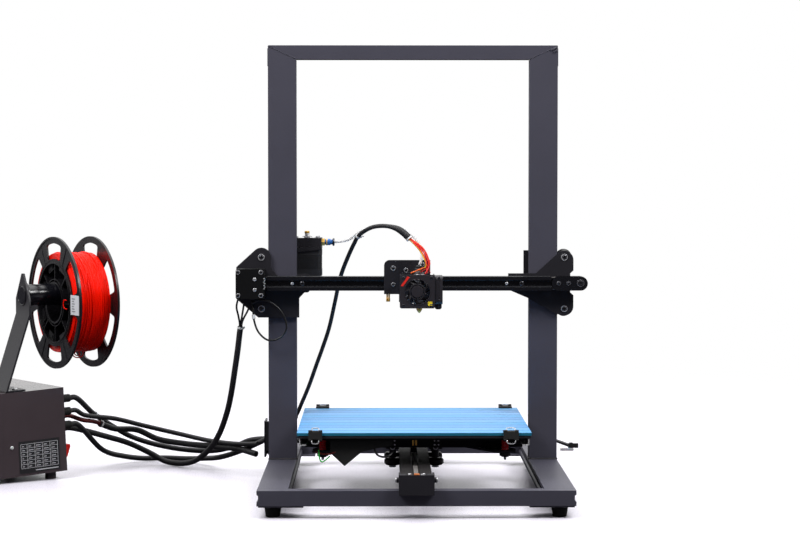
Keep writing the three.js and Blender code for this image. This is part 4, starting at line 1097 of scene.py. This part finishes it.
def add_leveling_knob(name, x, y):
    here = at(x, y, 0)
    knob = Piece()
    knob.add(plate(knurled(7.5, 6.9, 72), 49.4, 53.0), 0, here)
    knob.add(turned([(2.1, 48.0), (4.9, 48.0), (5.4, 49.5), (2.1, 49.5), (2.1, 48.0)], 32), 0, here)
    knob.add(ring(2.1, 6.2, 52.8, 53.7, 32), 0, here)
    thread = [(0, 44)]
    z = 44.2
    while z < 75:
        thread += [(1.65, z), (1.98, z + 0.35), (1.65, z + 0.7)]
        z += 0.7
    knob.add(turned([*thread, (1.6, 76.3), (0, 76.3)], 14), 1, here)
    body = f"leveling_knob_{name}"
    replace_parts(make(f"thumb_nut_{name}", knob, [PLASTIC, STEEL], body, bevel=0.2), body)


def add_bed_carriage():
    bits = Piece()
    for sx in (-1, 1):
        for y in WHEEL_Y:
            x = sx * 29.5
            bits.add(slab(x - 6.3, x + 6.3, y - 14, y + 14, 57.2, 66.0), 0)
            for dx in (-4, 4):
                for z in (59.6, 63.4):
                    cap_screw(bits, 1.0, 0.6, at(x + dx, y - 14, z, FRONT), 1)
            bits.add(slab(x - 9, x + 9, y - 11, y + 11, 48.2, 53.9), 0)
            nut(bits, 3.6, 3.0, 2.4, at(x, y - 11.2, 51, FRONT), 1)
            nut(bits, 4.2, 3.2, 2.4, at(x, y, 36.6), 0)
            nut(bits, 4.2, 2.6, 2.3, at(x, y, 22.0), 1)
    # the belt's clamp under the middle of the carriage
    bits.add(slab(-4.4, 4.4, 232, 252, 39.6, 54.2), 0)
    for x in (-2.2, 1.9):
        bits.add(slab(x - 1.1, x + 1.1, 230.9, 232.2, 46.0, 54.0), 2)
    for x in (-2.2, 1.9):
        bits.add(slab(x - 1.2, x + 1.2, 148.2, 149.8, 59.8, 67.0), 2)
        bits.add(slab(x - 2.0, x + 2.0, 148.6, 150.2, 58.8, 60.4), 0)
    for x in (-29.5, 29.5):
        for z in (60.5, 66.0):
            cap_screw(bits, 1.3, 0.8, at(x - 2.6, 149.8, z, FRONT), 1)
            cap_screw(bits, 1.3, 0.8, at(x + 2.6, 149.8, z, FRONT), 1)
    # a flap and loose leads that hang under the front edge
    flap = [(-113, 74), (-113, 56), (-109.8, 53.3), (-93.7, 38.6), (-70.7, 57.4), (-52, 62), (-30, 66),
            (-30, 74)]
    bits.add(plate(flap, 0, 1.0), 0, aim(0, 99, 0, FRONT))
    make("bed_carriage_bits", bits, [RUBBER, STEEL, BRASS], "bed", bevel=0.25)
    leads = Piece()
    green = [(-128, 100, 60), (-127, 97, 50), (-124, 96, 44.5), (-119, 96, 47), (-113, 98, 52)]
    leads.add(swept(smooth_path(green, 1.2), 0.9, 10), 0)
    dark = [(-133, 104, 57), (-122, 99, 54.5), (-112, 98, 55), (-104, 99.5, 58)]
    leads.add(swept(smooth_path(dark, 1.2), 1.3, 10), 1)
    loop = [(-55, 110, 66), (-54, 101, 60), (-50, 97, 53.5), (-42, 96, 51), (-34, 98, 53), (-29, 104, 58)]
    leads.add(swept(smooth_path(loop, 1.2), 1.4, 10), 2)
    make("bed_leads_under", leads, [WIRE["green"], RED_SLEEVE, WIRE["black"]], "bed", bevel=0)
    for end, y in zip(("front", "rear"), WHEEL_Y):
        for side, x in (("left", -29.5), ("right", 29.5)):
            add_wheel(f"v_wheel_bed_{end}_{side}", f"bed_wheel_{end}_{side}", at(x, y, 30.3))


# ---------------------------------------------------------------- gantry


def add_gantry():
    for side, sign in (("left", -1), ("right", 1)):
        for name, x, z in (("top", 214.5, 308), ("bottom", 214.5, 235), ("inner", 155.5, 271.5)):
            add_wheel(f"v_wheel_{side}_{name}", f"gantry_wheel_{side}_{name}", at(sign * x, 319, z, FRONT))
    bolts = Piece()
    for sign in (-1, 1):
        for x, z in ((214.5, 308), (214.5, 235)):
            washer(bolts, 4.8, 3.5, at(sign * x, 303.3, z, FRONT), 1, 1.2)
            screw(bolts, 3.5, at(sign * x, 303.3, z, FRONT), 2, 2.2)
        for x, z in ((214.5, 308), (214.5, 235), (155.5, 271.5)):
            nut(bolts, 4.0, 4.2, 2.4, at(sign * x, 324.6, z, BACK), 1)
    for x, r, kind in ((-170.2, 2.3, 1), (-156.1, 3.6, 2), (131.8, 2.3, 1), (152.9, 3.8, 2)):
        screw(bolts, r, at(x, 285.6, 271.5, FRONT), kind)
    for x, r in ((205.0, 3.1), (218.9, 3.1), (235.8, 5.2)):
        washer(bolts, r, r - 0.8, at(x, 283.0, 272.0, FRONT), 0, 1.0)
        screw(bolts, r - 0.8, at(x, 283.0, 272.0, FRONT), 2, 1.8)
    cx, cz = -229.5, 271.5
    for dx, dz in ((-16.3, 16.5), (-16.3, -16.0), (16.0, 16.5), (16.0, -16.0)):
        washer(bolts, 3.2, 2.4, at(cx + dx, 272.0, cz + dz, FRONT), 1, 0.9)
        screw(bolts, 2.4, at(cx + dx, 272.0, cz + dz, FRONT), 2, 1.6)
    for z in (278.0, 263.2):
        screw(bolts, 2.7, at(-222.3, 272.0, z, FRONT), 1, 1.5)
    for x, z in ((-198, 312), (-172, 306), (-198, 232), (-172, 232)):
        screw(bolts, 3.2, at(x, 335.1, z, BACK), 1)
    make("gantry_bolts", bolts, [DARK_STEEL, STEEL, BLACK_OXIDE], "gantry", bevel=0.12)
    x_motor = Piece()
    motor(x_motor, at(-228, 308.6, 271.5, FRONT), 2, connector=False)
    pulley(x_motor, 8.0, 3.8, at(-228, 293, 271.5, FRONT), 1)
    x_motor.add(disc(2.5, 0, 20, 20), 2, at(-228, 308, 271.5, FRONT))
    x_motor.add(slab(-236, -220, 338, 345, 245, 250.6), 3)
    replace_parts(make("x_motor_body", x_motor, MOTOR_LOOK, "gantry", bevel=0.35), "x_motor")
    belt = belt_loop([(-228, 271.5), (222, 271.5)], 8.3, 293, "X")
    piece = Piece().add(band(belt, (0, 1, 0), 2.9, 0.5))
    # the belt's end, clamped in front of the beam's slot with its teeth outwards; the white blocks on it are
    # painted highlights on the belt's teeth
    piece.add(slab(-211.4, -206.6, 285.5, 287.0, 262.6, 280.6), 2)
    for i in range(7):
        z = 263.6 + i * 2.4
        piece.add(slab(-210.8 + 0.9 * (i % 2), -208.6 + 0.9 * (i % 2), 284.4, 285.7, z, z + 1.3), 1)
    make("x_belt", piece, [BELT, WHITE_NYLON, RUBBER], "gantry", bevel=0)
    # the cable bracket that stands behind the right upright's edge
    post = Piece().add(slab(158.2, 165.5, 327.5, 330.5, 283, 317))
    make("gantry_post", post, [PLATE_BLACK], "gantry", bevel=0.4)


def add_extruder():
    unit = Piece()
    motor(unit, at(*EXTRUDER, 318), 18)
    unit.add(plate(rounded(-172, -130, 335, 377, 3), 318.0, 319.4), 4)
    look = [PLASTIC, CAST_DARK, STEEL, WHITE_NYLON, ALUMINIUM]
    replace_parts(make("feed_motor", unit, look, "gantry", bevel=0.35), "extruder_motor")
    body = Piece()
    body.add(plate(rounded(-172, -130, 335, 348, 2.5), 321.4, 334.3), 0)
    body.add(plate(rounded(-141, -130, 346, 377, 2.5), 321.4, 334.3), 0)
    body.add(slab(-171, -135, 363, 376.5, 321.4, 323.3), 0)
    body.add(slab(-171.5, -140, 346, 349.5, 321.4, 334.3), 0)
    here = at(-131, 345, 328.3, RIGHT)
    body.add(turned([(2.2, 0), (5.0, 0, 6), (5.0, 5.2, 6), (2.2, 5.2), (2.2, 0)], 36), 1, here)
    body.add(turned([(2.2, 5.2), (3.9, 5.2), (3.9, 6.4), (4.6, 7.0), (4.6, 13.2), (3.6, 13.6), (3.6, 16),
                     (2.2, 16), (2.2, 5.2)], 36), 2, here)
    body.add(ring(4.5, 4.8, 7.4, 9.0, 36), 1, here)
    body.add(turned([(2.2, 16), (3.6, 16), (5.6, 16.9), (5.6, 18.3), (5.0, 19.2), (2.2, 19.2), (2.2, 16)],
                    36), 3, here)
    # the tension screw stands on the arm: a nut, a spring and a knurled brass head
    nut(body, 3.8, 2.6, 1.8, at(-151, 340, 334.2), 4)
    coil = [Vector((-151 + 2.9 * math.cos(4.5 * TAU * i / 90), 340 + 2.9 * math.sin(4.5 * TAU * i / 90),
                    336.6 + 4.4 * i / 90))
            for i in range(91)]
    body.add(swept(coil, 0.5, 8), 4)
    body.add(turned([(0, 341), (3.4, 341), (3.6, 341.4), (3.6, 343.6), (3.0, 344.4), (0, 344.4)], 20), 1,
             at(-151, 340, 0))
    body.add(slab(-157.5, -144, 338.6, 341.4, 336.2, 337.4), 5)
    for x, y in ((-166, 341), (-136, 341), (-136, 371)):
        cap_screw(body, 2.7, 2.6, at(x, y, 334.3), 4)
    body.add(turned([(0, 322), (5.4, 322), (5.4, 325), (4.9, 326.5), (5.4, 328), (5.4, 331), (0, 331)], 24),
             1, at(*EXTRUDER, 0))
    look = [PLATE_BLACK, BRASS, BLUE_RING, BLACK_OXIDE, STEEL, WHITE_NYLON]
    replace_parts(make("feeder", body, look, "gantry", bevel=0.3), "extruder_body")
    lever = Piece()
    lever.add(plate(rounded(-172, -142.2, 363.3, 375.8, 3), 324.3, 333.3), 0)
    lever.add(plate(rounded(-181, -170, 366, 376, 3), 324.3, 333.3), 0)
    cap_screw(lever, 3.2, 1.2, at(-147.5, 369.5, 333.3), 1)
    lever.add(ring(1.6, 6.3, 0, 4, 32), 1, at(-158, 369.6, 329.0))
    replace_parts(make("feed_lever", lever, [PLATE_BLACK, STEEL], "lever", bevel=0.4),
                "extruder_lever")


# ---------------------------------------------------------------- carriage


def add_carriage():
    piece = Piece()
    outline = [(-41, 257), (-20, 257), (-20, 246), (24, 246), (24, 305), *arc(-33, 297, 8, 90, 180, 10)]
    piece.add(plate(outline, 0, 3), 0, aim(0, 279.7, 0, FRONT))
    piece.add(slab(-12, 22, 264, 277, 284.2, 287.8), 0)
    for x, z in ((-29, 291), (13, 291), (-8, 252)):
        wheel(piece, at(x, 293, z, FRONT))
        piece.add(disc(2.4, 0, 23, 20), 3, at(x, 302, z, FRONT))
        nut(piece, 4, 3.6, 2.4, at(x, 299, z, BACK), 3)
        piece.add(ring(2.4, 4.4, 0, 7.4, 28), 3, at(x, 287.6, z, FRONT))
    for x, z, r in ((-28.1, 293.5, 3.5), (-10.2, 290.9, 3.1), (-28.1, 270.8, 2.9), (13, 299, 3.0),
                    (-8, 252, 3.4)):
        washer(piece, r, r - 0.9, at(x, 276.7, z, FRONT), 1, 0.9)
        screw(piece, r - 0.9, at(x, 276.7, z, FRONT), 5, 1.4)
    for x in (-36.2, -33.4):
        piece.add(turned([(0, 246.4), (1.2, 246.4), (1.4, 247), (1.4, 251), (1.2, 251.4), (1.2, 258.5),
                          (0, 258.5)], 20), 4,
                  at(x - 0.4, 277.5, 0))
    piece.add(slab(-39.0, -31.4, 274, 281, 257.8, 260.4), 0)
    look = [PLATE_BLACK, STEEL, RUBBER, DARK_STEEL, BRASS, BLACK_OXIDE]
    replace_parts(make("head_carriage", piece, look, "carriage", bevel=0.2), "carriage_plate")
    add_hotend()
    add_shroud()


def add_hotend():
    piece = Piece()
    x, y = HOTEND
    here = at(x, y, 0)
    piece.add(turned([(0, 250), (3, 250), (3, 257), (4.2, 257), (4.2, 284), (8, 284), (8, 286), (6, 286),
                      (6, 289), (8, 289), (8, 291), (0, 291)], 36), 0, here)
    for i in range(9):
        z = 258 + i * 2.8
        piece.add(ring(4, 11, z, z + 1.2, 40), 0, here)
    piece.add(turned([(0, 290.8), (6.4, 290.8), (6.4, 293.4), (4.8, 294.4), (4.8, 297.2), (4.2, 298),
                      (0, 298)], 36), 3, here)
    piece.add(slab(x - 8, x + 12, y - 8, y + 8, 239.5, 250.5), 0)
    piece.add(disc(3, 0, 18, 24), 1, at(x + 7.5, y - 7.5, 245.5, BACK))
    cap_screw(piece, 1.6, 1.2, at(x - 5.5, y - 8, 245, FRONT), 1)
    nut(piece, 3.6, 3.2, 1.5, at(x, y, 236.3), 2)
    piece.add(turned([(0, 232), (0.6, 232), (3.1, 235), (3.3, 236.4), (0, 236.4)], 30), 2, here)
    look = [ALUMINIUM, STEEL, BRASS, PLASTIC]
    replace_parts(make("hot_end", piece, look, "carriage", bevel=0.2), "hotend")


def add_shroud():
    piece = Piece()
    front = rounded(-19, 29, 240, 286, 2.2)
    ear_holes = [circle(FAN[0] + dx, FAN[1] + dz, 1.8, 16) for dx in (-19.3, 19.3) for dz in (-19, 19)]
    # the fan's frame, from the front face back to the sheet behind it
    piece.add(plate(front, 0, 2.2, [circle(*FAN, 17.6, 56), *ear_holes]), 0, aim(0, 227.2, 0, FRONT))
    piece.add(plate(rounded(-18.4, 28.4, 240.6, 285.4, 2), 0, 8.6, [circle(*FAN, 17.9, 56)]), 0,
              aim(0, 235.8, 0, FRONT))
    piece.add(ring(17.6, 18.6, 0, 0.7, 56), 0, aim(FAN[0], 225.1, FAN[1], FRONT))
    piece.add(disc(9.3, 0, 1.6, 36), 0, aim(FAN[0], 235.6, FAN[1], FRONT))
    for angle in (35, 125, 215, 305):
        arm = Matrix.Rotation(math.radians(angle), 4, "Z")
        piece.add(slab(8.5, 18.2, -0.9, 0.9, 0, 1.6), 0, aim(FAN[0], 235.6, FAN[1], FRONT) @ arm)
    # the folded sheet
    piece.add(slab(-19, -17.8, 235.6, 268, 240.5, 286), 1)
    piece.add(slab(27.8, 29, 235.6, 268, 240.5, 286), 1)
    piece.add(slab(-19, 29, 235.8, 238, 284.6, 286), 1)
    piece.add(slab(-18, -12, 262, 268, 284.6, 286), 1)
    piece.add(slab(-18, 28, 235.8, 236.9, 240.5, 246), 1)
    for dx in (-19.3, 19.3):
        for dz in (-19, 19):
            cap_screw(piece, 2.2, 0.8, aim(FAN[0] + dx, 225.3, FAN[1] + dz, FRONT), 4)
    stripe = [(-18.2, 271.0), (-14.8, 270.6), (-5.8, 283.0), (-8.6, 284.6)]
    piece.add(plate(stripe, 0, 0.25), 3, aim(0, 225.0, 0, FRONT))
    piece.add(plate(rounded(19.6, 25.6, 243.6, 249.6, 1.2), 0, 0.25), 5, aim(0, 225.0, 0, FRONT))
    # the blower on the right
    piece.add(plate(rounded(228.3, 267.7, 245.3, 284.7, 6), 0, 5.6), 0, facing_x(29.2))
    piece.add(plate(rounded(228.3, 267.7, 245.3, 284.7, 6), 0, 4.8, [circle(249, 266, 11, 36)]), 0,
              facing_x(35.2))
    piece.add(turned([(0, 0), (7.5, 0), (7.5, 3.6), (6.5, 4.2), (0, 4.2)], 36), 0, aim(35, 249, 266, RIGHT))
    for i in range(18):
        vane = Matrix.Rotation(TAU * i / 18, 4, "Z")
        piece.add(slab(7.2, 10.6, -0.3, 0.3, 0, 3.6), 0, aim(35, 249, 266, RIGHT) @ vane)
    piece.add(plate(rounded(29.3, 38.9, 238.0, 262, 3.2), 0, 13), 0, aim(0, 249.6, 0, FRONT))
    piece.add(slab(29.3, 30.4, 228, 236.6, 247, 283), 4)
    for z, y in ((282.0, 228.2), (250.5, 228.2), (243.0, 236.6)):
        cap_screw(piece, 1.7, 1.0, aim(35.0, y, z, FRONT), 4)
    look = [FAN_GREY, PLATE_BLACK, STEEL, RED_STRIPE, BLACK_OXIDE, YELLOW_DOT]
    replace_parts(make("cooling_shroud", piece, look, "carriage", bevel=0.25), "fan_shroud")
    rotor = Piece()
    here = aim(FAN[0], 231.8, FAN[1], FRONT)
    rotor.add(turned([(0, 0), (8.5, 0), (8.5, 4.8), (8.0, 5.5), (0, 5.5)], 44), 0, here)
    rotor.add(turned([(9.8, 0.5), (11.2, 0.5), (11.2, 4.9), (10.7, 5.4), (9.8, 5.4), (9.8, 0.5)], 44), 0,
              here)
    for i in range(7):
        rotor.add(slab(8, 10.4, -1.1, 1.1, 0.6, 4.6), 0, here @ Matrix.Rotation(TAU * (i + 0.35) / 7, 4, "Z"))
        loops = []
        for k in range(6):
            r = 11.0 + k * 1.16
            base = TAU * i / 7 + 0.055 * k
            reach = 0.23 - 0.010 * k
            lead = (math.cos(base - reach) * r, math.sin(base - reach) * r, 0.3)
            trail = (math.cos(base + reach) * r, math.sin(base + reach) * r, 4.6)
            loops.append([lead, trail, (trail[0], trail[1], trail[2] + 0.55),
                          (lead[0], lead[1], lead[2] + 0.55)])
        rotor.add(rings(loops), 0, here)
    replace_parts(make("fan_blades", rotor, [FAN_GREY], "fan", bevel=0.1), "fan_rotor")


def facing_x(x):
    """Outlines drawn in Y and Z, thick along +X from x."""
    return Matrix(((0, 0, 1, x), (1, 0, 0, 0), (0, 1, 0, 0), (0, 0, 0, 1)))


# ---------------------------------------------------------------- control box


def add_control_box():
    label = Piece()
    label.add(slab(-75, -11, -0.35, -0.05, 4, 50), 0, BOX_TURN)
    for z in (11, 16.8, 22.6, 28.4, 34.2, 40, 45.8):
        label.add(slab(-72, -14, -0.5, -0.3, z - 0.2, z + 0.2), 1, BOX_TURN)
    for x in (-72, -62, -50, -38, -26, -14):
        label.add(slab(x - 0.2, x + 0.2, -0.5, -0.3, 11, 45.8), 1, BOX_TURN)
    for z in (13, 18.8, 24.6, 30.4, 36.2, 42):
        for x0, x1 in ((-70, -64), (-60, -52), (-48, -40), (-36, -28), (-24, -16)):
            label.add(slab(x0, x1 - random.uniform(0, 4), -0.5, -0.3, z + 0.2, z + 1.0), 1, BOX_TURN)
    label.add(slab(-50, -14, -0.5, -0.3, 6.4, 7.6), 1, BOX_TURN)
    make("box_label", label, [INK, LABEL], "frame", bevel=0)
    bits = Piece()
    screw(bits, 2.6, BOX_TURN @ at(-85.5, 0, 43, FRONT), 1)
    screw(bits, 2.6, BOX_TURN @ at(-205, 0, 43, FRONT), 1)
    for x in (-205, -110, -6):
        for z in (8, 113):
            screw(bits, 2.6, BOX_TURN @ at(x, BOX["wide"], z, BACK), 0)
    for y in (8, 162):
        for z in (8, 112):
            screw(bits, 2.4, BOX_TURN @ at(0, y, z, RIGHT), 0)
            screw(bits, 2.4, BOX_TURN @ at(-BOX["long"], y, z, LEFT), 0)
    make("box_screws", bits, [STEEL, WHITE_NYLON], "frame", bevel=0.1)
    cap = [(2.5, 17.9), (5.5, 17.9), (11.4, 33.0), (10.6, 36.4), (2.5, 37.1)]
    rocker = Piece().add(rings([[(x, y, z) for x, z in cap] for y in (8.7, 21.3)]), 0, BOX_TURN)
    make("rocker_cap", rocker, [RED_PLASTIC], "rocker", bevel=0.5)
    add_box_front()
    add_box_end()


def add_box_front():
    """The end with the display and the turning knob."""
    front = Piece()
    there = BOX_TURN @ facing_x(-BOX["long"])
    knob_at = BOX_TURN @ aim(-BOX["long"], 130, 45, LEFT)
    front.add(plate(rounded(28, 104, 50, 96, 3), -1.6, 0, [rounded(34, 98, 56, 90, 2)]), 0, there)
    front.add(plate(rounded(33, 99, 55, 91, 2), -0.8, 0), 1, there)
    front.add(turned([(12, 0), (13.6, 0), (13.6, 1.0), (12, 1.4), (12, 0)], 40), 0, knob_at)
    front.add(plate(rounded(40, 66, 20, 24, 1), -0.5, 0), 2, there)
    make("box_front", front, [PLASTIC, DISPLAY, DARK_STEEL], "frame", bevel=0.3)
    knob = Piece()
    knob.add(plate(knurled(11, 10.5, 96), 1.2, 14), 0, knob_at)
    knob.add(turned([(0, 13.9), (10.2, 13.9), (9.4, 15.7), (8, 16), (0, 15.4)], 48), 0, knob_at)
    knob.add(slab(-0.6, 0.6, 3, 9, 15.3, 16.1), 1, knob_at)
    knob.add(disc(3, -12, 2, 24), 2, knob_at)
    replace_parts(make("turn_knob", knob, [PLASTIC, WHITE_NYLON, STEEL], "control_knob",
                     bevel=0.2),
                "control_knob")


def add_box_end():
    """The connector end: glands with ribbed plugs, the rocker's bezel, a power inlet and vents."""
    end = Piece()
    for y, z in SOCKETS.values():
        here = BOX_TURN @ aim(0, y, z, RIGHT)
        end.add(turned([(3, -0.5), (7.4, -0.5), (7.4, 1.4), (6.8, 2.0), (3, 2.0), (3, -0.5)], 36), 1, here)
        end.add(turned([(3.2, 1.8), (6.2, 1.8), (6.2, 9.0), (5.9, 9.6), (3.2, 9.6), (3.2, 1.8)], 36), 3, here)
        rib = [(3.2, 9.4), (5.9, 9.4)]
        for k in range(4):
            rib += [(5.9, 10.2 + k * 3.2), (5.9, 12.0 + k * 3.2), (5.7, 12.3 + k * 3.2),
                    (5.7, 13.0 + k * 3.2)]
        rib += [(5.8, 23), (4.4, 24.4), (3.2, 24.4), (3.2, 9.4)]
        end.add(turned(rib, 36), 0, here)
    there = BOX_TURN @ facing_x(0)
    end.add(plate(rounded(6.4, 23.6, 15, 40, 2), 0, 1.6, [rounded(7.9, 22.1, 16.4, 38.6, 1)]), 0, there)
    end.add(plate(rounded(100, 150, 18, 48, 3), 0, 2.2, [rounded(106, 134, 23, 43, 3)]), 0, there)
    end.add(plate(rounded(104, 136, 21, 45, 3), 0, 0.7), 0, there)
    for y in (113, 120, 127):
        end.add(slab(0.5, 4.5, y - 1, y + 1, 29, 37), 1, BOX_TURN)
    for k in range(9):
        end.add(slab(0.05, 0.5, 84 + k * 8, 88 + k * 8, 60, 104), 2, BOX_TURN)
    make("box_connectors", end, [RUBBER, BLACK_OXIDE, RUBBER, PLATE_BLACK], "frame",
         bevel=0.25)


def lid_height(x, y):
    top, normal = BOX_TURN @ Vector((0, 0, BOX["high"])), BOX_TURN.to_3x3() @ Vector((0, 0, 1))
    return top.z - (normal.x * (x - top.x) + normal.y * (y - top.y)) / normal.z


def add_spool_holder():
    def on_lid(x, y, rise):
        here = HOLDER_TURN @ Vector((x, y, 0))
        return x, y, lid_height(here.x, here.y) + rise
    piece = Piece()
    bottom = [on_lid(-36, -25, 0.4), on_lid(-33, -25, 0.4), on_lid(-33, 25, 0.4), on_lid(-36, 25, 0.4)]
    bend = [(0, -25, 224), (3, -25, 224), (3, 25, 224), (0, 25, 224)]
    shoulder = [(0, -25, 246), (3, -25, 246), (3, 25, 246), (0, 25, 246)]
    peak = [(0, -3, 282.5), (3, -3, 282.5), (3, 3, 282.5), (0, 3, 282.5)]
    piece.add(rings([bottom, bend, shoulder, peak]), 0, HOLDER_TURN)
    foot = [[on_lid(x, y, h) for x in (-36, -6) for y in (-25, 25)] for h in (0.3, 2.8)]
    loops = [[loop[0], loop[2], loop[3], loop[1]] for loop in foot]
    piece.add(rings(loops), 0, HOLDER_TURN)
    for y in (-14, 14):
        x, y, z = on_lid(-18, y, 2.8)
        screw(piece, 4.2, HOLDER_TURN @ at(x, y, z), 2)
    axle = HOLDER_TURN @ aim(0, 0, 251, RIGHT)
    tube = [(13.1, 3), (15.6, 3), (15.6, 118.4), (15.2, 120), (13.1, 120), (12.7, 119), (12.7, 8), (13.1, 3)]
    piece.add(turned(tube, 64), 1, axle)
    piece.add(turned([(0, 2.8), (19.6, 2.8), (19.6, 4.4), (19.0, 5), (0, 5)], 56), 1, axle)
    piece.add(turned([(0, -1.2), (12.6, -1.2), (13.4, -0.5), (13.9, -1.2), (15, -1.2), (15, 0.2), (0, 0.2)],
                     48), 1, axle)
    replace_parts(make("holder", piece, [PLATE_BLACK, GLOSS_PLASTIC, STEEL], "frame", bevel=0.5),
                "spool_holder")


def add_spool():
    here = HOLDER_TURN @ aim(78.8, 0, 238.9, RIGHT)
    piece = Piece()
    windows = []
    for i in range(6):
        turn = 60 * i + 30
        window = [(85.8, -16.5), (86.2, -14.5), (86.2, 14.5), (85.8, 16.5), (84.0, 17.9), (65.8, 19.4),
                  (64.2, 18.4), (63.7, 16.0), (63.7, -16.0), (64.2, -18.4), (65.8, -19.4), (84.0, -17.9)]
        outline = []
        for (r, a), (r2, a2) in zip(window, window[1:] + window[:1]):
            outline += [(r + (r2 - r) * k / 6, a + (a2 - a) * k / 6) for k in range(6)]
        windows.append([(r * math.cos(math.radians(a + turn)), r * math.sin(math.radians(a + turn)))
                        for r, a in outline])
    for low, high, sign in ((-30, -27.4, -1), (27.4, 30, 1)):
        piece.add(plate(circle(0, 0, 95.8, 144), low, high, [circle(0, 0, 57, 96), *windows]), 0, here)
        face = low if sign < 0 else high
        for r0, r1, rise in ((92.8, 95.8, 0.9), (57.0, 59.0, 1.0), (61.4, 62.2, 0.5)):
            a, b = sorted((face, face + sign * rise))
            piece.add(ring(r0, r1, a, b, 144), 0, here)
        for i in range(6):
            spoke = here @ Matrix.Rotation(math.radians(60 * i), 4, "Z")
            a, b = sorted((face, face + sign * 0.7))
            piece.add(slab(62, 93, -0.6, 0.6, a, b), 0, spoke)
    piece.add(ring(57, 60, -28, 28, 120), 0, here)
    piece.add(ring(28, 30.5, -30, 30, 72), 0, here)
    piece.add(ring(33.4, 34.6, -29.4, -4, 96), 0, here)
    piece.add(ring(29, 58, -1.5, 1.5, 96), 0, here)
    for i in range(8):
        rib = here @ Matrix.Rotation(math.radians(45 * i), 4, "Z")
        piece.add(slab(29, 57.6, -0.8, 0.8, -28.6, 28.6), 0, rib)
        block = here @ Matrix.Rotation(math.radians(45 * i + 22.5), 4, "Z")
        for a, b in ((-26.0, -20.0), (20.0, 26.0)):
            piece.add(slab(48, 57.6, -9, 9, a, b), 0, block)
            piece.add(slab(50, 55, -6, 6, a - 0.8, b + 0.8), 0, block)
    piece.add(slab(-92.4, -63, -14, 14, -31.2, -30.0), 1, here)
    for k in range(6):
        piece.add(slab(-80 + (3 * k) % 7, -68, -9.5 + k * 3.6, -8.5 + k * 3.6, -31.4, -31.1), 2, here)
    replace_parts(make("reel", piece, [REEL_PLASTIC, LABEL, DARK_STEEL], "spool", bevel=0.3),
                "spool")
    coil = Piece()
    half, pitch = 26.6, 1.78
    profile = []
    rows = int(2 * half / pitch)
    for i in range(rows):
        z = -half + (i + 0.5) * 2 * half / rows
        r = 72.4 + random.uniform(-0.5, 0.25) - (1.2 if i in (0, rows - 1) else 0)
        for k in range(5):
            t = math.pi * (0.08 + 0.84 * k / 4)
            profile.append((r - 0.9 + 0.9 * math.sin(t), z - 0.84 * math.cos(t)))
    def flank(z, sign):
        out = []
        for k in range(7):
            r = 61.0 + k * 1.72
            out += [(r - 0.6, z), (r, z + sign * 0.5), (r + 0.6, z + sign * 0.1)]
        return out
    low_side, high_side = flank(-half, -1), flank(half, 1)
    closed = [(60.3, -half), *low_side, *profile, *high_side[::-1], (60.3, half), (60.3, -half)]
    coil.add(turned(closed, 120), 0, here)
    for i in range(16):
        start, r = random.uniform(0, TAU), 72.9
        z0, sweep, climb = random.uniform(-24, 20), random.uniform(0.8, 2.4), random.uniform(-3.4, 3.4)
        path = []
        for k in range(41):
            t = k / 40
            bulge = math.sin(math.pi * t) ** 0.5 if 0 < t < 1 else 0
            a = start + sweep * t
            path.append(here @ Vector(((r - 0.8 + 0.9 * bulge) * math.cos(a),
                                       (r - 0.8 + 0.9 * bulge) * math.sin(a),
                                       max(-25.6, min(25.6, z0 + climb * t)))))
        coil.add(swept(path, 0.87, 8), 0)
    # loose turns under the coil, and the free end hooked in the hub; each point is (radius, angle, along)
    loose = [[(72.6, -1.86, -9), (76.5, -1.83, -10.5), (80.5, -1.79, -6), (81.5, -1.74, 1), (80, -1.70, 8),
              (76, -1.68, 12), (72.6, -1.66, 11)],
             [(72.6, -1.80, -4), (76, -1.78, -5), (78.5, -1.74, 0), (77, -1.70, 6), (72.6, -1.66, 5)],
             [(45, 3.02, -29), (40.5, 3.0, -31.2), (38.6, 3.14, -31.6), (40.5, 3.28, -31.2), (46, 3.30, -29)]]
    for points in loose:
        path = [here @ Vector((r * math.cos(a), r * math.sin(a), h)) for r, a, h in points]
        coil.add(swept(smooth_path(path, 1.5), 0.87, 10), 0)
    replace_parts(make("wound_filament", coil, [RED_FILAMENT], "spool", bevel=0, angle=60),
                "filament_coil")


# ---------------------------------------------------------------- the CAD nodes that stay

STAY = {
    PAINT: ("base_beam_left", "base_beam_right", "base_beam_front", "base_beam_rear", "upright_left",
            "upright_right", "top_beam"),
    COVER_BLACK: ("x_motor_cover",),
    PLATE_BLACK: ("gantry_plate_left", "gantry_plate_right", "gantry_plate_rear", "rail_front_bracket",
                  "y_carriage_plate", "heated_plate"),
    GLOSS_BLACK: ("x_beam", "x_idler_bracket"),
    RAIL_BLACK: ("y_rail",),
    BOX_PAINT: ("control_box_cover", "control_box_chassis"),
    ALUMINIUM: ("power_supply",),
    BOARD: ("mainboard",),
    RED_PLASTIC: ("rocker_switch",),
}

add_frame_details()
add_rail_details()
add_z_drive()
add_bed()
add_gantry()
add_extruder()
add_carriage()
add_control_box()
add_spool_holder()
add_spool()
for finish, names in STAY.items():
    for node_name in names:
        dress(node_name, finish)
